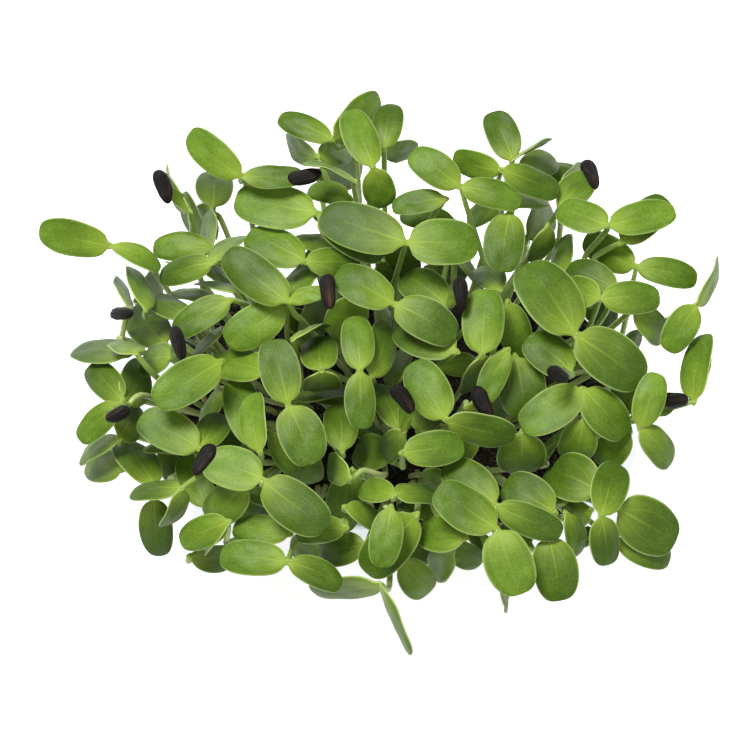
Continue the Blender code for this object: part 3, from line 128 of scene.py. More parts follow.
# Each seedling as read from the photo: level, joint, then tip and width of each leaf seen.
SEEDLINGS = {
    # top left
    "s01": (3, (111, 246), (39, 231, 32), (160, 270, 24)),
    "s02": (3, (190, 212), (164, 188, 13), (167, 168, 8)),
    "s03": (2, (209, 247), (183, 193, 28)),
    "s04": (3, (213, 263), (160, 278, 31), (243, 236, 25)),
    "s05": (3, (212, 249), (153, 248, 31), (205, 215, 20)),
    "s06": (3, (213, 208), (216, 172, 38), (210, 229, 37)),
    "s07": (4, (242, 177), (189, 133, 31), (303, 176, 26)),
    "s10": (4, (406, 243), (321, 215, 50), (478, 243, 51)),
    "s09": (4, (317, 213), (235, 199, 50), (385, 255, 46)),
    "s11": (3, (305, 262), (247, 235, 42), (360, 262, 34)),
    "s12": (4, (289, 302), (226, 252, 42), (327, 292, 18)),
    "s60": (3, (285, 306), (226, 342, 42), (317, 262, 30)),
    # top
    "s13": (3, (332, 140), (279, 117, 28), (380, 98, 24)),
    "s14": (4, (373, 168), (350, 110, 36), (385, 207, 33)),
    "s15": (2, (384, 149), (392, 104, 32), (415, 152, 9)),
    "s16": (4, (460, 187), (411, 153, 35), (521, 203, 32)),
    "s17": (3, (446, 199), (392, 208, 27)),
    "s18": (4, (501, 170), (453, 158, 22), (559, 192, 33)),
    "s19": (3, (512, 161), (492, 112, 34), (548, 142, 9)),
    "s20": (2, (519, 172), (556, 160, 30)),
    "s21": (2, (560, 205), (589, 176, 34)),
    "s139": (4, (356, 183), (303, 163, 14)),
    "s140": (2, (318, 157), (287, 142, 12), (350, 150, 26)),
    # top right
    "s22": (4, (608, 226), (559, 207, 38), (675, 210, 36)),
    "s23": (3, (621, 243), (667, 199, 36)),
    "s24": (3, (636, 267), (584, 239, 28), (697, 280, 30)),
    "s25": (3, (696, 305), (718, 260, 12), (667, 351, 33)),
    "s26": (4, (600, 299), (660, 298, 35), (560, 290, 36)),
    "s27": (4, (575, 335), (525, 265, 60), (642, 382, 56)),
    "s28": (2, (617, 290), (567, 268, 34)),
    "s29": (1, (563, 275), (563, 237, 20)),
    "s30": (4, (510, 212), (502, 272, 42)),
    "s31": (2, (548, 226), (534, 262, 20)),
    "s32": (1, (455, 222), (400, 215, 26)),
    "s33": (1, (500, 205), (467, 222, 26)),
    # left
    "s34": (2, (146, 310), (133, 268, 20)),
    "s34b": (1, (128, 307), (123, 282, 10), (123, 313, 14)),
    "s35": (4, (166, 345), (133, 307, 40)),
    "s36": (3, (128, 356), (76, 348, 36)),
    "s37": (4, (136, 354), (116, 342, 26)),
    "s38": (3, (123, 401), (89, 366, 32), (145, 366, 28)),
    "s40": (3, (120, 404), (79, 440, 30), (117, 414, 14)),
    "s41": (3, (119, 440), (136, 402, 26), (80, 460, 24)),
    "s42": (2, (123, 470), (87, 462, 36)),
    "s43": (3, (153, 486), (121, 441, 35)),
    "s44": (4, (181, 489), (131, 493, 25), (165, 526, 12)),
    "s45": (3, (154, 498), (160, 556, 34)),
    "s46": (3, (229, 522), (180, 542, 33), (205, 550, 20)),
    "s47": (3, (246, 484), (207, 518, 40)),
    "s48": (4, (263, 480), (205, 460, 46), (326, 528, 48)),
    "s49": (2, (207, 508), (186, 455, 34)),
    "s50": (3, (200, 449), (140, 417, 42), (224, 415, 32)),
    "s51": (2, (196, 452), (146, 447, 20)),
    "s53": (4, (222, 361), (155, 403, 44)),
    "s55": (2, (172, 357), (141, 362, 36), (178, 344, 16)),
    "s56": (3, (231, 300), (174, 333, 32)),
    "s57": (2, (224, 330), (195, 350, 22)),
    "s58": (2, (190, 318), (149, 296, 28)),
    "s59": (2, (241, 293), (198, 283, 18)),
    "s61": (3, (268, 372), (213, 360, 37)),
    # centre
    "s62": (4, (288, 405), (272, 340, 41), (312, 464, 47)),
    "s64": (3, (256, 449), (236, 378, 38)),
    "s65": (4, (260, 452), (254, 393, 28)),
    "s66": (2, (270, 434), (300, 474, 30)),
    "s67": (1, (300, 440), (314, 483, 30)),
    "s68": (2, (342, 452), (338, 404, 35)),
    "s69": (2, (294, 401), (351, 392, 22)),
    "s70": (3, (322, 371), (320, 336, 38), (324, 390, 40)),
    "s71": (3, (293, 340), (325, 328, 12)),
    "s73": (4, (360, 371), (355, 316, 34), (362, 429, 32)),
    "s74": (3, (371, 378), (388, 323, 30)),
    "s75": (2, (380, 328), (384, 303, 16)),
    "s76": (2, (366, 300), (330, 336, 40)),
    "s77": (4, (394, 304), (337, 272, 42), (455, 338, 44)),
    "s105": (4, (457, 352), (396, 327, 42)),
    "s107": (2, (447, 306), (404, 275, 42), (460, 295, 16)),
    "s108": (4, (482, 356), (486, 289, 43), (468, 392, 20)),
    "s110": (2, (500, 290), (478, 268, 30)),
    "s112": (2, (508, 302), (521, 359, 33)),
    "s113": (3, (572, 374), (528, 337, 43), (559, 374, 14)),
    "s114": (3, (515, 356), (524, 416, 50)),
    "s115": (3, (508, 350), (484, 401, 28)),
    "s116": (3, (583, 389), (522, 428, 43), (625, 436, 44)),
    "s99": (4, (402, 453), (464, 445, 37)),
    "s101": (4, (446, 420), (413, 362, 43), (515, 436, 28)),
    "s102": (3, (522, 432), (520, 473, 50)),
    "s103": (1, (478, 435), (450, 462, 30)),
    "s78": (3, (398, 430), (378, 384, 28)),
    "s79": (3, (404, 432), (383, 456, 28), (403, 401, 14)),
    "s79b": (2, (418, 432), (437, 402, 34)),
    "s80": (2, (393, 458), (356, 447, 38)),
    "s82": (3, (350, 478), (328, 464, 22)),
    "s83": (3, (352, 470), (340, 531, 38)),
    "s84": (2, (346, 528), (296, 534, 28)),
    "s85": (4, (394, 495), (361, 487, 28), (437, 495, 26)),
    "s86": (4, (391, 507), (381, 567, 34)),
    "s104": (2, (450, 478), (424, 484, 22)),
    # right
    "s117": (4, (640, 428), (657, 373, 32), (671, 464, 34)),
    "s118": (3, (694, 402), (705, 334, 25), (706, 362, 8)),
    "s120": (3, (634, 309), (664, 338, 33)),
    "s123": (3, (584, 420), (570, 460, 38)),
    "s124": (2, (629, 430), (600, 466, 34)),
    "s125": (2, (545, 462), (559, 431, 14)),
    "s126": (3, (599, 491), (551, 470, 50)),
    "s127": (4, (601, 516), (618, 464, 38), (608, 565, 33)),
    "s128": (3, (617, 508), (676, 541, 56)),
    "s129": (2, (616, 541), (670, 560, 32)),
    "s130": (3, (555, 512), (505, 482, 44)),
    "s131": (2, (564, 503), (548, 470, 24)),
    "s132": (2, (591, 510), (564, 516, 24)),
    "s133": (1, (594, 541), (576, 541, 30)),
    "s134": (2, (566, 513), (577, 556, 24)),
    "s143": (2, (660, 414), (675, 400, 14)),
    # bottom
    "s88": (3, (417, 514), (366, 573, 46)),
    "s89": (2, (366, 545), (319, 553, 35)),
    "s91": (4, (288, 562), (220, 556, 37), (341, 586, 30)),
    "s92": (2, (290, 534), (233, 528, 31)),
    "s93": (3, (380, 584), (313, 592, 17), (411, 655, 5)),
    "s94": (2, (402, 560), (429, 593, 36)),
    "s95": (2, (453, 551), (431, 573, 34)),
    "s96": (3, (466, 538), (418, 530, 38)),
    "s97": (4, (497, 529), (437, 488, 46), (522, 594, 50)),
    "s98": (4, (496, 506), (446, 464, 42), (562, 533, 33)),
    "s135": (3, (548, 536), (560, 601, 46)),
    "s136": (1, (530, 545), (502, 525, 30)),
    "s137": (2, (500, 585), (505, 604, 22)),
}

# Each hull: the seedling and leaf that it clasps, then the two ends of its length in pixels.
HULLS = {
    "hull_01": ("s02", 0, (156, 172), (172, 205)),
    "hull_02": ("s21", 0, (586, 160), (595, 191)),
    "hull_03": ("s34b", 1, (118, 303), (128, 323)),
    "hull_04": ("s55", 1, (184, 328), (172, 359)),
    "hull_05": ("s40", 1, (120, 400), (114, 429)),
    "hull_06": ("s48", 0, (219, 444), (204, 470)),
    "hull_07": ("s12", 1, (326, 276), (328, 309)),
    "hull_08": ("s107", 1, (470, 272), (450, 320)),
    "hull_09": ("s79", 1, (397, 389), (409, 412)),
    "hull_10": ("s115", 0, (475, 384), (493, 419)),
    "hull_11": ("s113", 1, (542, 382), (577, 366)),
    "hull_12": ("s143", 0, (665, 405), (684, 395)),
    "hull_13": ("s07", 1, (290, 182), (326, 174)),
}
CLASPED = {(plant, side) for plant, side, start, end in HULLS.values()}


# The photo's view

TILT = math.radians(CAMERA_TILT)
VIEW_UP = Vector((0, math.cos(TILT), math.sin(TILT)))
VIEW_AHEAD = Vector((0, math.sin(TILT), -math.cos(TILT)))


def met_by_ray(place, pixel, height):
    """Where the ray of a pixel, from a camera at this place, meets the plane at this height."""
    right = (pixel[0] - PHOTO_MIDDLE) * MM_PER_PIXEL_AT_RIM
    up = (PHOTO_MIDDLE - pixel[1]) * MM_PER_PIXEL_AT_RIM
    ray = VIEW_AHEAD * CAMERA_DISTANCE + VIEW_UP * up + Vector((right, 0, 0))
    return place + ray * ((height - place.z) / ray.z)


def camera_place():
    """Where the camera stands so that the tray's middle, at the rim, shows at its pixel."""
    place = Vector((0, 0, TRAY_HEIGHT)) - VIEW_AHEAD * CAMERA_DISTANCE
    shift = met_by_ray(place, TRAY_MIDDLE_PIXEL, TRAY_HEIGHT)
    return place - Vector((shift.x, shift.y, 0))


CAMERA_PLACE = camera_place()


def under_pixel(pixel, height):
    """The point at this height that shows at this pixel."""
    return met_by_ray(CAMERA_PLACE, pixel, height)


def pixel_scale(point):
    """Millimetres across one photo pixel, at this point's distance from the camera."""
    depth = (point - CAMERA_PLACE).dot(VIEW_AHEAD)
    return MM_PER_PIXEL_AT_RIM * depth / CAMERA_DISTANCE


def shown_at(point):
    """The pixel that a point shows at."""
    scale = pixel_scale(point)
    offset = point - CAMERA_PLACE
    return PHOTO_MIDDLE + offset.x / scale, PHOTO_MIDDLE - offset.dot(VIEW_UP) / scale


# Seed leaves

def leaf_outline(t):
    """Half width of a seed leaf along its length, as a share of its widest: a full oval on a stalk."""
    share = (t - PETIOLE_SHARE) / (1 - PETIOLE_SHARE)
    return (4 * max(share, 0) * max(1 - share, 0)) ** OVAL_POWER


class Leaf:
    """One seed leaf: from its joint to its tip, rolled about its length, arched and cupped."""

    def __init__(self, joint, tip, width, roll, arch, cup):
        self.joint = joint
        self.tip = tip
        self.width = width
        self.arch = arch
        self.cup = cup
        self.length = (tip - joint).length
        self.along = (tip - joint).normalized()
        level_side = UP.cross(self.along).normalized()
        self.side = Matrix.Rotation(roll, 3, self.along) @ level_side
        self.face = self.along.cross(self.side)

    def point(self, t, v, lift=0.0, grow=0.0):
        """The point t along and v across the leaf, from -1 to 1, lifted off its middle surface."""
        outline = leaf_outline(t)
        half = max(self.width / 2 * outline, PETIOLE_HALF_WIDTH * (1 - t)) + grow
        rise = 4 * self.arch * t * (1 - t) + self.cup * (v * outline) ** 2 + lift
        return self.joint + self.along * (self.length * t) + self.side * (v * half) + self.face * rise


def swollen_blade(leaf, gap=CLEARANCE):
    """The space that a leaf keeps to itself: its blade with the clearance all round."""
    points = []
    rows = [*SPACE_STATIONS, 1 + gap / leaf.length]
    thick = HALF_BLADE + gap
    for t in rows:
        points += [leaf.point(t, v, -thick, gap) for v in (-1, 0, 1)]
        points += [leaf.point(t, v, thick, gap) for v in (1, 0, -1)]
    faces = [(0, 1, 2, 3, 4, 5)]
    for row in range(len(rows) - 1):
        near = 6 * row
        far = near + 6
        for corner in range(6):
            after = (corner + 1) % 6
            faces.append((near + corner, far + corner, far + after, near + after))
    last = 6 * (len(rows) - 1)
    faces.append(tuple(last + corner for corner in (5, 4, 3, 2, 1, 0)))
    return points, faces


def tube_mesh(path, radius, sides=5):
    """A plain tube round a path that runs mostly upright: its points and faces, for tests."""
    points = []
    for place in path:
        for step in range(sides):
            angle = 2 * math.pi * step / sides
            points.append(place + Vector((math.cos(angle), math.sin(angle), 0)) * radius)
    faces = []
    for row in range(len(path) - 1):
        near = sides * row
        for step in range(sides):
            after = (step + 1) % sides
            faces.append((near + step, near + after, near + sides + after, near + sides + step))
    return points, faces


class Clutter:
    """What is already in place, that each later leaf has to miss."""

    def __init__(self):
        self.points = []
        self.faces = []
        self.tree = None

    def add(self, mesh):
        """Puts a mesh of points and faces in place."""
        points, faces = mesh
        start = len(self.points)
        self.points += points
        self.faces += [tuple(start + corner for corner in face) for face in faces]
        self.tree = BVHTree.FromPolygons(self.points, self.faces)

    def clear_of(self, mesh):
        """Whether a mesh of points and faces misses all that is in place."""
        points, faces = mesh
        return self.tree is None or not BVHTree.FromPolygons(points, faces).overlap(self.tree)


# Placing the seedlings

# What is tried to keep a leaf clear: shifts of its tip's height, steps down, and how slim it is.
TIP_SHIFTS = (0, -2, 2, -4, 4, -6, 6, -9, 8, -12, -15, -18)
JOINT_STEP = 1.5
SLIMNESS = (1, 0.88, 0.76, 0.6)

# What is tried for a hidden leaf: turns, drops and sizes, and how much of it has to be hidden.
PARTNER_TURNS = (0, 20, -20, 40, -40, 60, -60, 80, -80, 100, -100)
PARTNER_DROPS = (7, 11, 15, 4, 19, 23)
PARTNER_SIZES = (0.9, 0.72, 0.55)
HIDDEN_SHARE = 0.75

# The coarse cells of the photo, in pixels, and where on a leaf they are looked up.
MASK_CELL = 5
MASK_ROWS = (0.15, 0.3, 0.45, 0.6, 0.75, 0.9)
MASK_COLUMNS = (-0.9, -0.45, 0, 0.45, 0.9)

# How leaves differ by nature: arch, cup, roll in degrees, fall of the tip, and turn in degrees.
ARCHES = (0.5, 2.2)
CUPS = (-1.3, 0.6)
ROLLS = (-9, 9)
FALLS = (-0.5, 3.5)
TURNS = (-10, 10)


class Habit:
    """How one leaf grows by its own nature: its arch, cup, roll and the fall of its tip."""

    def __init__(self, draw):
        self.arch = draw.uniform(*ARCHES)
        self.cup = draw.uniform(*CUPS)
        self.roll = math.radians(draw.uniform(*ROLLS))
        self.fall = draw.uniform(*FALLS)
        self.edge = draw.choice((-1, 1))
        self.turn = draw.uniform(*TURNS)


class Seedling:
    """One seedling: what the photo shows of it, and once it is placed, its leaves and stem."""

    def __init__(self, name, level, joint_pixel, *seen):
        draw = random.Random(name)
        self.name = name
        self.level = level
        self.joint_pixel = joint_pixel
        self.seen = seen
        self.habits = [Habit(draw), Habit(draw)]
        self.joint = None
        self.leaves = []
        self.stem = []


def leaf_toward(joint, tip, width_seen, habit, clasped):
    """The leaf from a joint to a tip that looks this wide from above, or None if it is too long."""
    length = (tip - joint).length
    if length > LONGEST_LEAF or (clasped and length < SHORTEST_CLASPED):
        return None
    if clasped:
        return Leaf(joint, tip, width_seen, habit.roll, CLASPED_ARCH, 0)
    usual = LEAF_PROPORTION * max(length, SHORTEST_LEAF)
    if width_seen > FLAT_SHARE * usual:
        return Leaf(joint, tip, width_seen, habit.roll, habit.arch, habit.cup)
    width = ROLLED_SHARE * usual
    roll = habit.edge * math.acos(max(width_seen / width, STEEPEST_ROLL))
    return Leaf(joint, tip, width, roll, habit.arch, habit.cup)


def resting_height(joint, tip_pixel, habit, clasped):
    """Height of a leaf's tip, steep where the leaf looks shorter than it can be."""
    flat = (under_pixel(tip_pixel, joint.z) - joint).length
    shortest = CLASPED_LEAF if clasped else SHORTEST_LEAF
    if flat >= shortest:
        return joint.z - habit.fall
    slant = math.sqrt(shortest ** 2 - flat ** 2)
    return joint.z + slant if clasped else joint.z - slant


def hull_frame(leaf, ends):
    """Where a hull sits on its leaf's tip: a matrix with X along the hull, Z off the leaf's face."""
    height = leaf.tip.z
    reach = under_pixel(ends[1], height) - under_pixel(ends[0], height)
    face = leaf.face if leaf.face.z >= 0 else -leaf.face
    along = (reach - face * reach.dot(face)).normalized()
    across = face.cross(along)
    axes = Matrix((along, across, face)).transposed().to_4x4()
    return Matrix.Translation(leaf.tip + leaf.along * HULL_OVERHANG) @ axes


def hull_bmesh(leaf, ends, grow=0.0):
    """A husk: a flattened ball, blunt at one end and narrower at the other."""
    husk = bmesh.new()
    bmesh.ops.create_uvsphere(husk, u_segments=6, v_segments=4, radius=HULL_FULLNESS)
    for vertex in husk.verts:
        x, y, z = vertex.co.z, vertex.co.x, vertex.co.y
        narrow = 1 - HULL_TAPER * x
        vertex.co = Vector((
            x * (HULL_HALF[0] + grow),
            y * narrow * (HULL_HALF[1] + grow),
            z * narrow * (HULL_HALF[2] + grow),
        ))
    husk.transform(hull_frame(leaf, ends))
    return husk


def points_and_faces(shape):
    """The points and faces of a bmesh, which is then freed."""
    shape.verts.ensure_lookup_table()
    points = [vertex.co.copy() for vertex in shape.verts]
    faces = [tuple(vertex.index for vertex in face.verts) for face in shape.faces]
    shape.free()
    return points, faces


def joined(meshes):
    """Several point-and-face meshes as one."""
    points = []
    faces = []
    for more_points, more_faces in meshes:
        start = len(points)
        points += more_points
        faces += [tuple(start + corner for corner in face) for face in more_faces]
    return points, faces


def leaf_space(seedling, side, leaf):
    """The space that a leaf keeps clear, with its hull's if it holds one."""
    for plant, on, start, end in HULLS.values():
        if (plant, on) == (seedling.name, side):
            husk = points_and_faces(hull_bmesh(leaf, (start, end), CLEARANCE))
            return joined([swollen_blade(leaf), husk])
    return swollen_blade(leaf)


def clear_leaf(seedling, side, joint, clutter, slimness):
    """The seen leaf on one side, at the first fall of its tip that misses what is in place."""
    tip_x, tip_y, width = seedling.seen[side]
    clasped = (seedling.name, side) in CLASPED
    habit = seedling.habits[side]
    rest = resting_height(joint, (tip_x, tip_y), habit, clasped)
    for shift in TIP_SHIFTS:
        height = rest + shift
        if not LEAF_FLOOR <= height <= LEAF_CEILING:
            continue
        tip = under_pixel((tip_x, tip_y), height)
        leaf = leaf_toward(joint, tip, slimness * width * pixel_scale(tip), habit, clasped)
        if leaf and clutter.clear_of(leaf_space(seedling, side, leaf)):
            return leaf
    return None


def stub_space(joint):
    """The space of the top of a stem, which runs straight down from its joint."""
    return tube_mesh([joint + UP, joint - UP * STUB_LENGTH], STEM_RADIUS + CLEARANCE)


def place_seen(seedling, clutter, slimness):
    """Lowers a seedling from its level until each leaf that the photo shows passes clear."""
    height = LEVEL_HEIGHT[seedling.level]
    while height > LOWEST_JOINT:
        joint = under_pixel(seedling.joint_pixel, height)
        height -= JOINT_STEP
        if not clutter.clear_of(stub_space(joint)):
            continue
        leaves = [
            clear_leaf(seedling, side, joint, clutter, slimness) for side in range(len(seedling.seen))
        ]
        if all(leaves):
            seedling.joint = joint
            seedling.leaves = leaves
            for side, leaf in enumerate(leaves):
                clutter.add(leaf_space(seedling, side, leaf))
            clutter.add(stub_space(joint))
            return True
    return False


def mask_cells(leaf):
    """The coarse photo cells that a leaf covers."""
    cells = set()
    for t in MASK_ROWS:
        for v in MASK_COLUMNS:
            px, py = shown_at(leaf.point(t, v))
            cells.add((int(px // MASK_CELL), int(py // MASK_CELL)))
    return cells


def place_partner(seedling, clutter, covered):
    """Adds the second leaf that the photo hides, opposite the first and under the others."""
    first = seedling.leaves[0]
    habit = seedling.habits[1]
    away = -first.along
    best = None
    best_share = HIDDEN_SHARE
    for size in PARTNER_SIZES:
        length = min(max(first.length, SHORTEST_LEAF), LONGEST_PARTNER) * size
        for turn in PARTNER_TURNS:
            swing = Matrix.Rotation(math.radians(turn + habit.turn), 3, "Z")
            heading = swing @ Vector((away.x, away.y, 0))
            for drop in PARTNER_DROPS:
                fall = min(drop, STEEPEST_FALL * length)
                flat = math.sqrt(length ** 2 - fall ** 2)
                tip = seedling.joint + heading.normalized() * flat - UP * fall
                if tip.z < LEAF_FLOOR:
                    continue
                leaf = Leaf(seedling.joint, tip, LEAF_PROPORTION * length, habit.roll, habit.arch, habit.cup)
                cells = mask_cells(leaf)
                share = len(cells & covered) / len(cells)
                if share > best_share and clutter.clear_of(swollen_blade(leaf)):
                    best = leaf
                    best_share = share
        if best:
            break
    if best:
        seedling.leaves.append(best)
        clutter.add(swollen_blade(best))


def placed_seedlings():
    """Every seedling: those with hulls, then the topmost first, then each leaf that is hidden."""
    seedlings = [Seedling(name, *reading) for name, reading in SEEDLINGS.items()]
    hulled = {plant for plant, side in CLASPED}
    clutter = Clutter()
    for seedling in sorted(seedlings, key=lambda plant: (plant.name not in hulled, -plant.level)):
        any(place_seen(seedling, clutter, slimness) for slimness in SLIMNESS)
    seedlings = [seedling for seedling in seedlings if seedling.joint]
    covered = set()
    for seedling in seedlings:
        for leaf in seedling.leaves:
            covered |= mask_cells(leaf)
    for seedling in seedlings:
        if len(seedling.leaves) == 1:
            place_partner(seedling, clutter, covered)
    return seedlings


# Planting holes

# How far a place moves in at each step, and how often the holes push each other apart.
PULL_STEP = 0.975
SPREADING_SWEEPS = 200


def rounded_distance(x, y, half_length, half_width, corner):
    """Signed distance outside a rounded rectangle."""
    dx = abs(x) - (half_length - corner)
    dy = abs(y) - (half_width - corner)
    outside = math.hypot(max(dx, 0), max(dy, 0))
    return outside + min(max(dx, dy), 0) - corner


def inner_half(height):
    """Half length, half width and corner of the tray's inside at this height."""
    inset = TRAY_WALL + RIM_REACH + (TRAY_HEIGHT - height) * math.tan(math.radians(TRAY_DRAFT))
    return TRAY_LENGTH / 2 - inset, TRAY_WIDTH / 2 - inset, TRAY_CORNER - inset


def pulled_inside(place, margin):
    """A place on the growing mix moved in until it is this far from the tray's wall."""
    half = inner_half(SOIL_TOP)
    x, y = place
    while rounded_distance(x, y, *half) > -margin:
        x *= PULL_STEP
        y *= PULL_STEP
    return x, y


def planting_groups(seedlings):
    """Seedlings in fours, from the outside in, each with its nearest neighbours."""
    waiting = sorted(seedlings, key=lambda plant: -plant.joint.xy.length)
    groups = []
    while waiting:
        first = waiting.pop(0)
        waiting.sort(key=lambda plant: (plant.joint.xy - first.joint.xy).length)
        groups.append([first, *waiting[:STEMS_A_HOLE - 1]])
        waiting = sorted(waiting[STEMS_A_HOLE - 1:], key=lambda plant: -plant.joint.xy.length)
    return groups


def hole_places(groups):
    """The middle of each group's hole, inside the tray and apart from each other."""
    margin = HOLE_RADIUS + HOLE_MARGIN
    places = []
    for group in groups:
        middle = sum((plant.joint.xy for plant in group), Vector((0, 0))) / len(group)
        drawn_in = (middle.x * ROOT_SHRINK[0], middle.y * ROOT_SHRINK[1])
        places.append(Vector(pulled_inside(drawn_in, margin)))
    for sweep in range(SPREADING_SWEEPS):
        for first in range(len(places)):
            for second in range(first):
                apart = places[first] - places[second]
                lack = HOLE_SPACING - apart.length
                if lack > 0:
                    push = apart.normalized() * lack / 2
                    places[first] = Vector(pulled_inside(places[first] + push, margin))
                    places[second] = Vector(pulled_inside(places[second] - push, margin))
    return places


# Stems

# The space over the mix: its cells, its corners, and how far stems keep from leaves, from other
# stems, from those of their own hole and from the tray, and how much of a leaf is near its joint.
CELL = 1.5
GRID_LOW = np.array((-135.0, -120.0, SOIL_TOP + 3.0))
GRID_HIGH = np.array((125.0, 100.0, 112.0))
LEAF_KEEP = 2.8
STEM_KEEP = 3.3
FELLOW_KEEP = 2.2
TRAY_KEEP = 1
NEAR_JOINT = 7

# Samples of a leaf and of a run, and how far a way down may stray and step aside.
SAMPLE_ROWS = 22
SAMPLE_COLUMNS = 11
SAMPLE_GAP = 0.8
TEST_GAP = 0.6
WAY_MARGIN = 16
SIDE_STEPS = [(x, y) for x in range(-2, 3) for y in range(-2, 3)]


class Thicket:
    """The space over the growing mix in small cells, each with how many things stand in it."""

    def __init__(self):
        size = np.ceil((GRID_HIGH - GRID_LOW) / CELL).astype(int)
        self.count = np.zeros(size, dtype=np.int16)
        self.block_tray()

    def block_tray(self):
        """Marks what is too near the tray's wall and rim."""
        size_x, size_y, size_z = self.count.shape
        x = GRID_LOW[0] + (np.arange(size_x) + 0.5) * CELL
        y = GRID_LOW[1] + (np.arange(size_y) + 0.5) * CELL
        for layer in range(size_z):
            height = GRID_LOW[2] + (layer + 0.5) * CELL
            if height > TRAY_HEIGHT + STEM_RADIUS + TRAY_KEEP:
                break
            half_length, half_width, corner = inner_half(min(height, TRAY_HEIGHT))
            dx = (np.abs(x) - (half_length - corner))[:, None]
            dy = (np.abs(y) - (half_width - corner))[None, :]
            outside = np.hypot(np.maximum(dx, 0), np.maximum(dy, 0)) + np.minimum(np.maximum(dx, dy), 0)
            self.count[:, :, layer] += outside - corner > -STEM_RADIUS - TRAY_KEEP

    def cells(self, points):
        """The cells that points lie in."""
        return np.floor((np.asarray(points) - GRID_LOW) / CELL).astype(int)

    def stamp(self, points, keep, amount=1):
        """Adds an amount to each cell whose middle is within this distance of the points."""
        points = np.asarray(points, dtype=float)
        if not len(points):
            return
        reach = int(keep / CELL) + 1
        around = np.arange(-reach, reach + 1)
        offsets = np.array(np.meshgrid(around, around, around)).reshape(3, -1).T
        cells = (self.cells(points)[:, None, :] + offsets).reshape(-1, 3)
        middles = GRID_LOW + (cells + 0.5) * CELL
        gaps = np.linalg.norm(middles - np.repeat(points, len(offsets), axis=0), axis=1)
        cells = cells[gaps < keep]
        inside = np.all((cells >= 0) & (cells < self.count.shape), axis=1)
        cells = np.unique(cells[inside], axis=0)
        self.count[tuple(cells.T)] += amount

    def free(self, start, end):
        """Whether a straight run between two points stays in empty cells."""
        start = np.asarray(start)
        end = np.asarray(end)
        steps = max(2, int(np.linalg.norm(end - start) / TEST_GAP))
        cells = self.cells(start + np.linspace(0, 1, steps)[:, None] * (end - start))
        cells = cells[np.all((cells >= 0) & (cells < self.count.shape), axis=1)]
        return not self.count[tuple(cells.T)].any()

    def way_down(self, start, foot):
        """The cheapest way from a start down to a foot, layer by layer, or None if none is open."""
        top = self.cells(start)
        end = self.cells(foot)
        low = np.maximum(np.minimum(top, end)[:2] - WAY_MARGIN, 0)
        high = np.minimum(np.maximum(top, end)[:2] + WAY_MARGIN, self.count.shape[:2])
        count = self.count[low[0]:high[0], low[1]:high[1]]
        size_x, size_y = count.shape[:2]
        cost = np.full((size_x, size_y), np.inf)
        cost[top[0] - low[0], top[1] - low[1]] = 0
        choices = []
        for layer in range(top[2] - 1, -1, -1):
            padded = np.pad(cost, 2, constant_values=np.inf)
            options = np.array([
                padded[2 - x:2 - x + size_x, 2 - y:2 - y + size_y] + x * x + y * y for x, y in SIDE_STEPS
            ])
            choice = options.argmin(axis=0)
            cost = np.take_along_axis(options, choice[None], axis=0)[0]
            cost[count[:, :, layer] > 0] = np.inf
            choices.append(choice)
        x, y = end[:2] - low
        if not np.isfinite(cost[x, y]):
            return None
        way = []
        for layer, choice in enumerate(reversed(choices)):
            way.append(GRID_LOW + (np.array((x + low[0], y + low[1], layer)) + 0.5) * CELL)
            step_x, step_y = SIDE_STEPS[choice[x, y]]
            x -= step_x
            y -= step_y
        way.append(np.array(start))
        return way

    def pulled_tight(self, way):
        """The fewest points of a way that straight free runs can join."""
        tight = [way[0]]
        here = 0
        while here < len(way) - 1:
            there = len(way) - 1
            while there > here + 1 and not self.free(way[here], way[there]):
                there -= 1
            tight.append(way[there])
            here = there
        return tight


def leaf_samples(leaf, near=None):
    """Points spread over a leaf, or only those near its joint."""
    rows = np.linspace(0.02, 1, SAMPLE_ROWS)
    columns = np.linspace(-1, 1, SAMPLE_COLUMNS)
    points = [leaf.point(t, v) for t in rows for v in columns]
    if near:
        points = [point for point in points if (point - leaf.joint).length < near]
    return points


def run_samples(path):
    """Points along a path of straight runs."""
    points = []
    for start, end in zip(path, path[1:]):
        start = np.asarray(start, dtype=float)
        end = np.asarray(end, dtype=float)
        steps = max(2, int(np.linalg.norm(end - start) / SAMPLE_GAP))
        points += list(start + np.linspace(0, 1, steps)[:, None] * (end - start))
    return points


def own_samples(seedling):
    """What of a seedling its own stem may touch: its stub and the roots of its leaves."""
    stub = run_samples([seedling.joint, seedling.joint - UP * STUB_LENGTH])
    near = [leaf_samples(leaf, NEAR_JOINT) for leaf in seedling.leaves]
    return stub, near


def foot_offsets(group, hole):
    """Where each stem of a group leaves the hole: evenly round it, in the order of their leans."""
    def bearing(seedling):
        lean = seedling.joint.xy - hole
        return math.atan2(lean.y, lean.x)

    ordered = sorted(group, key=bearing)
    first = bearing(ordered[0])
    offsets = {}
    for place, seedling in enumerate(ordered):
        turn = first + 2 * math.pi * place / len(group)
        offsets[seedling.name] = Vector((math.cos(turn), math.sin(turn))) * FOOT_OFFSET
    return offsets


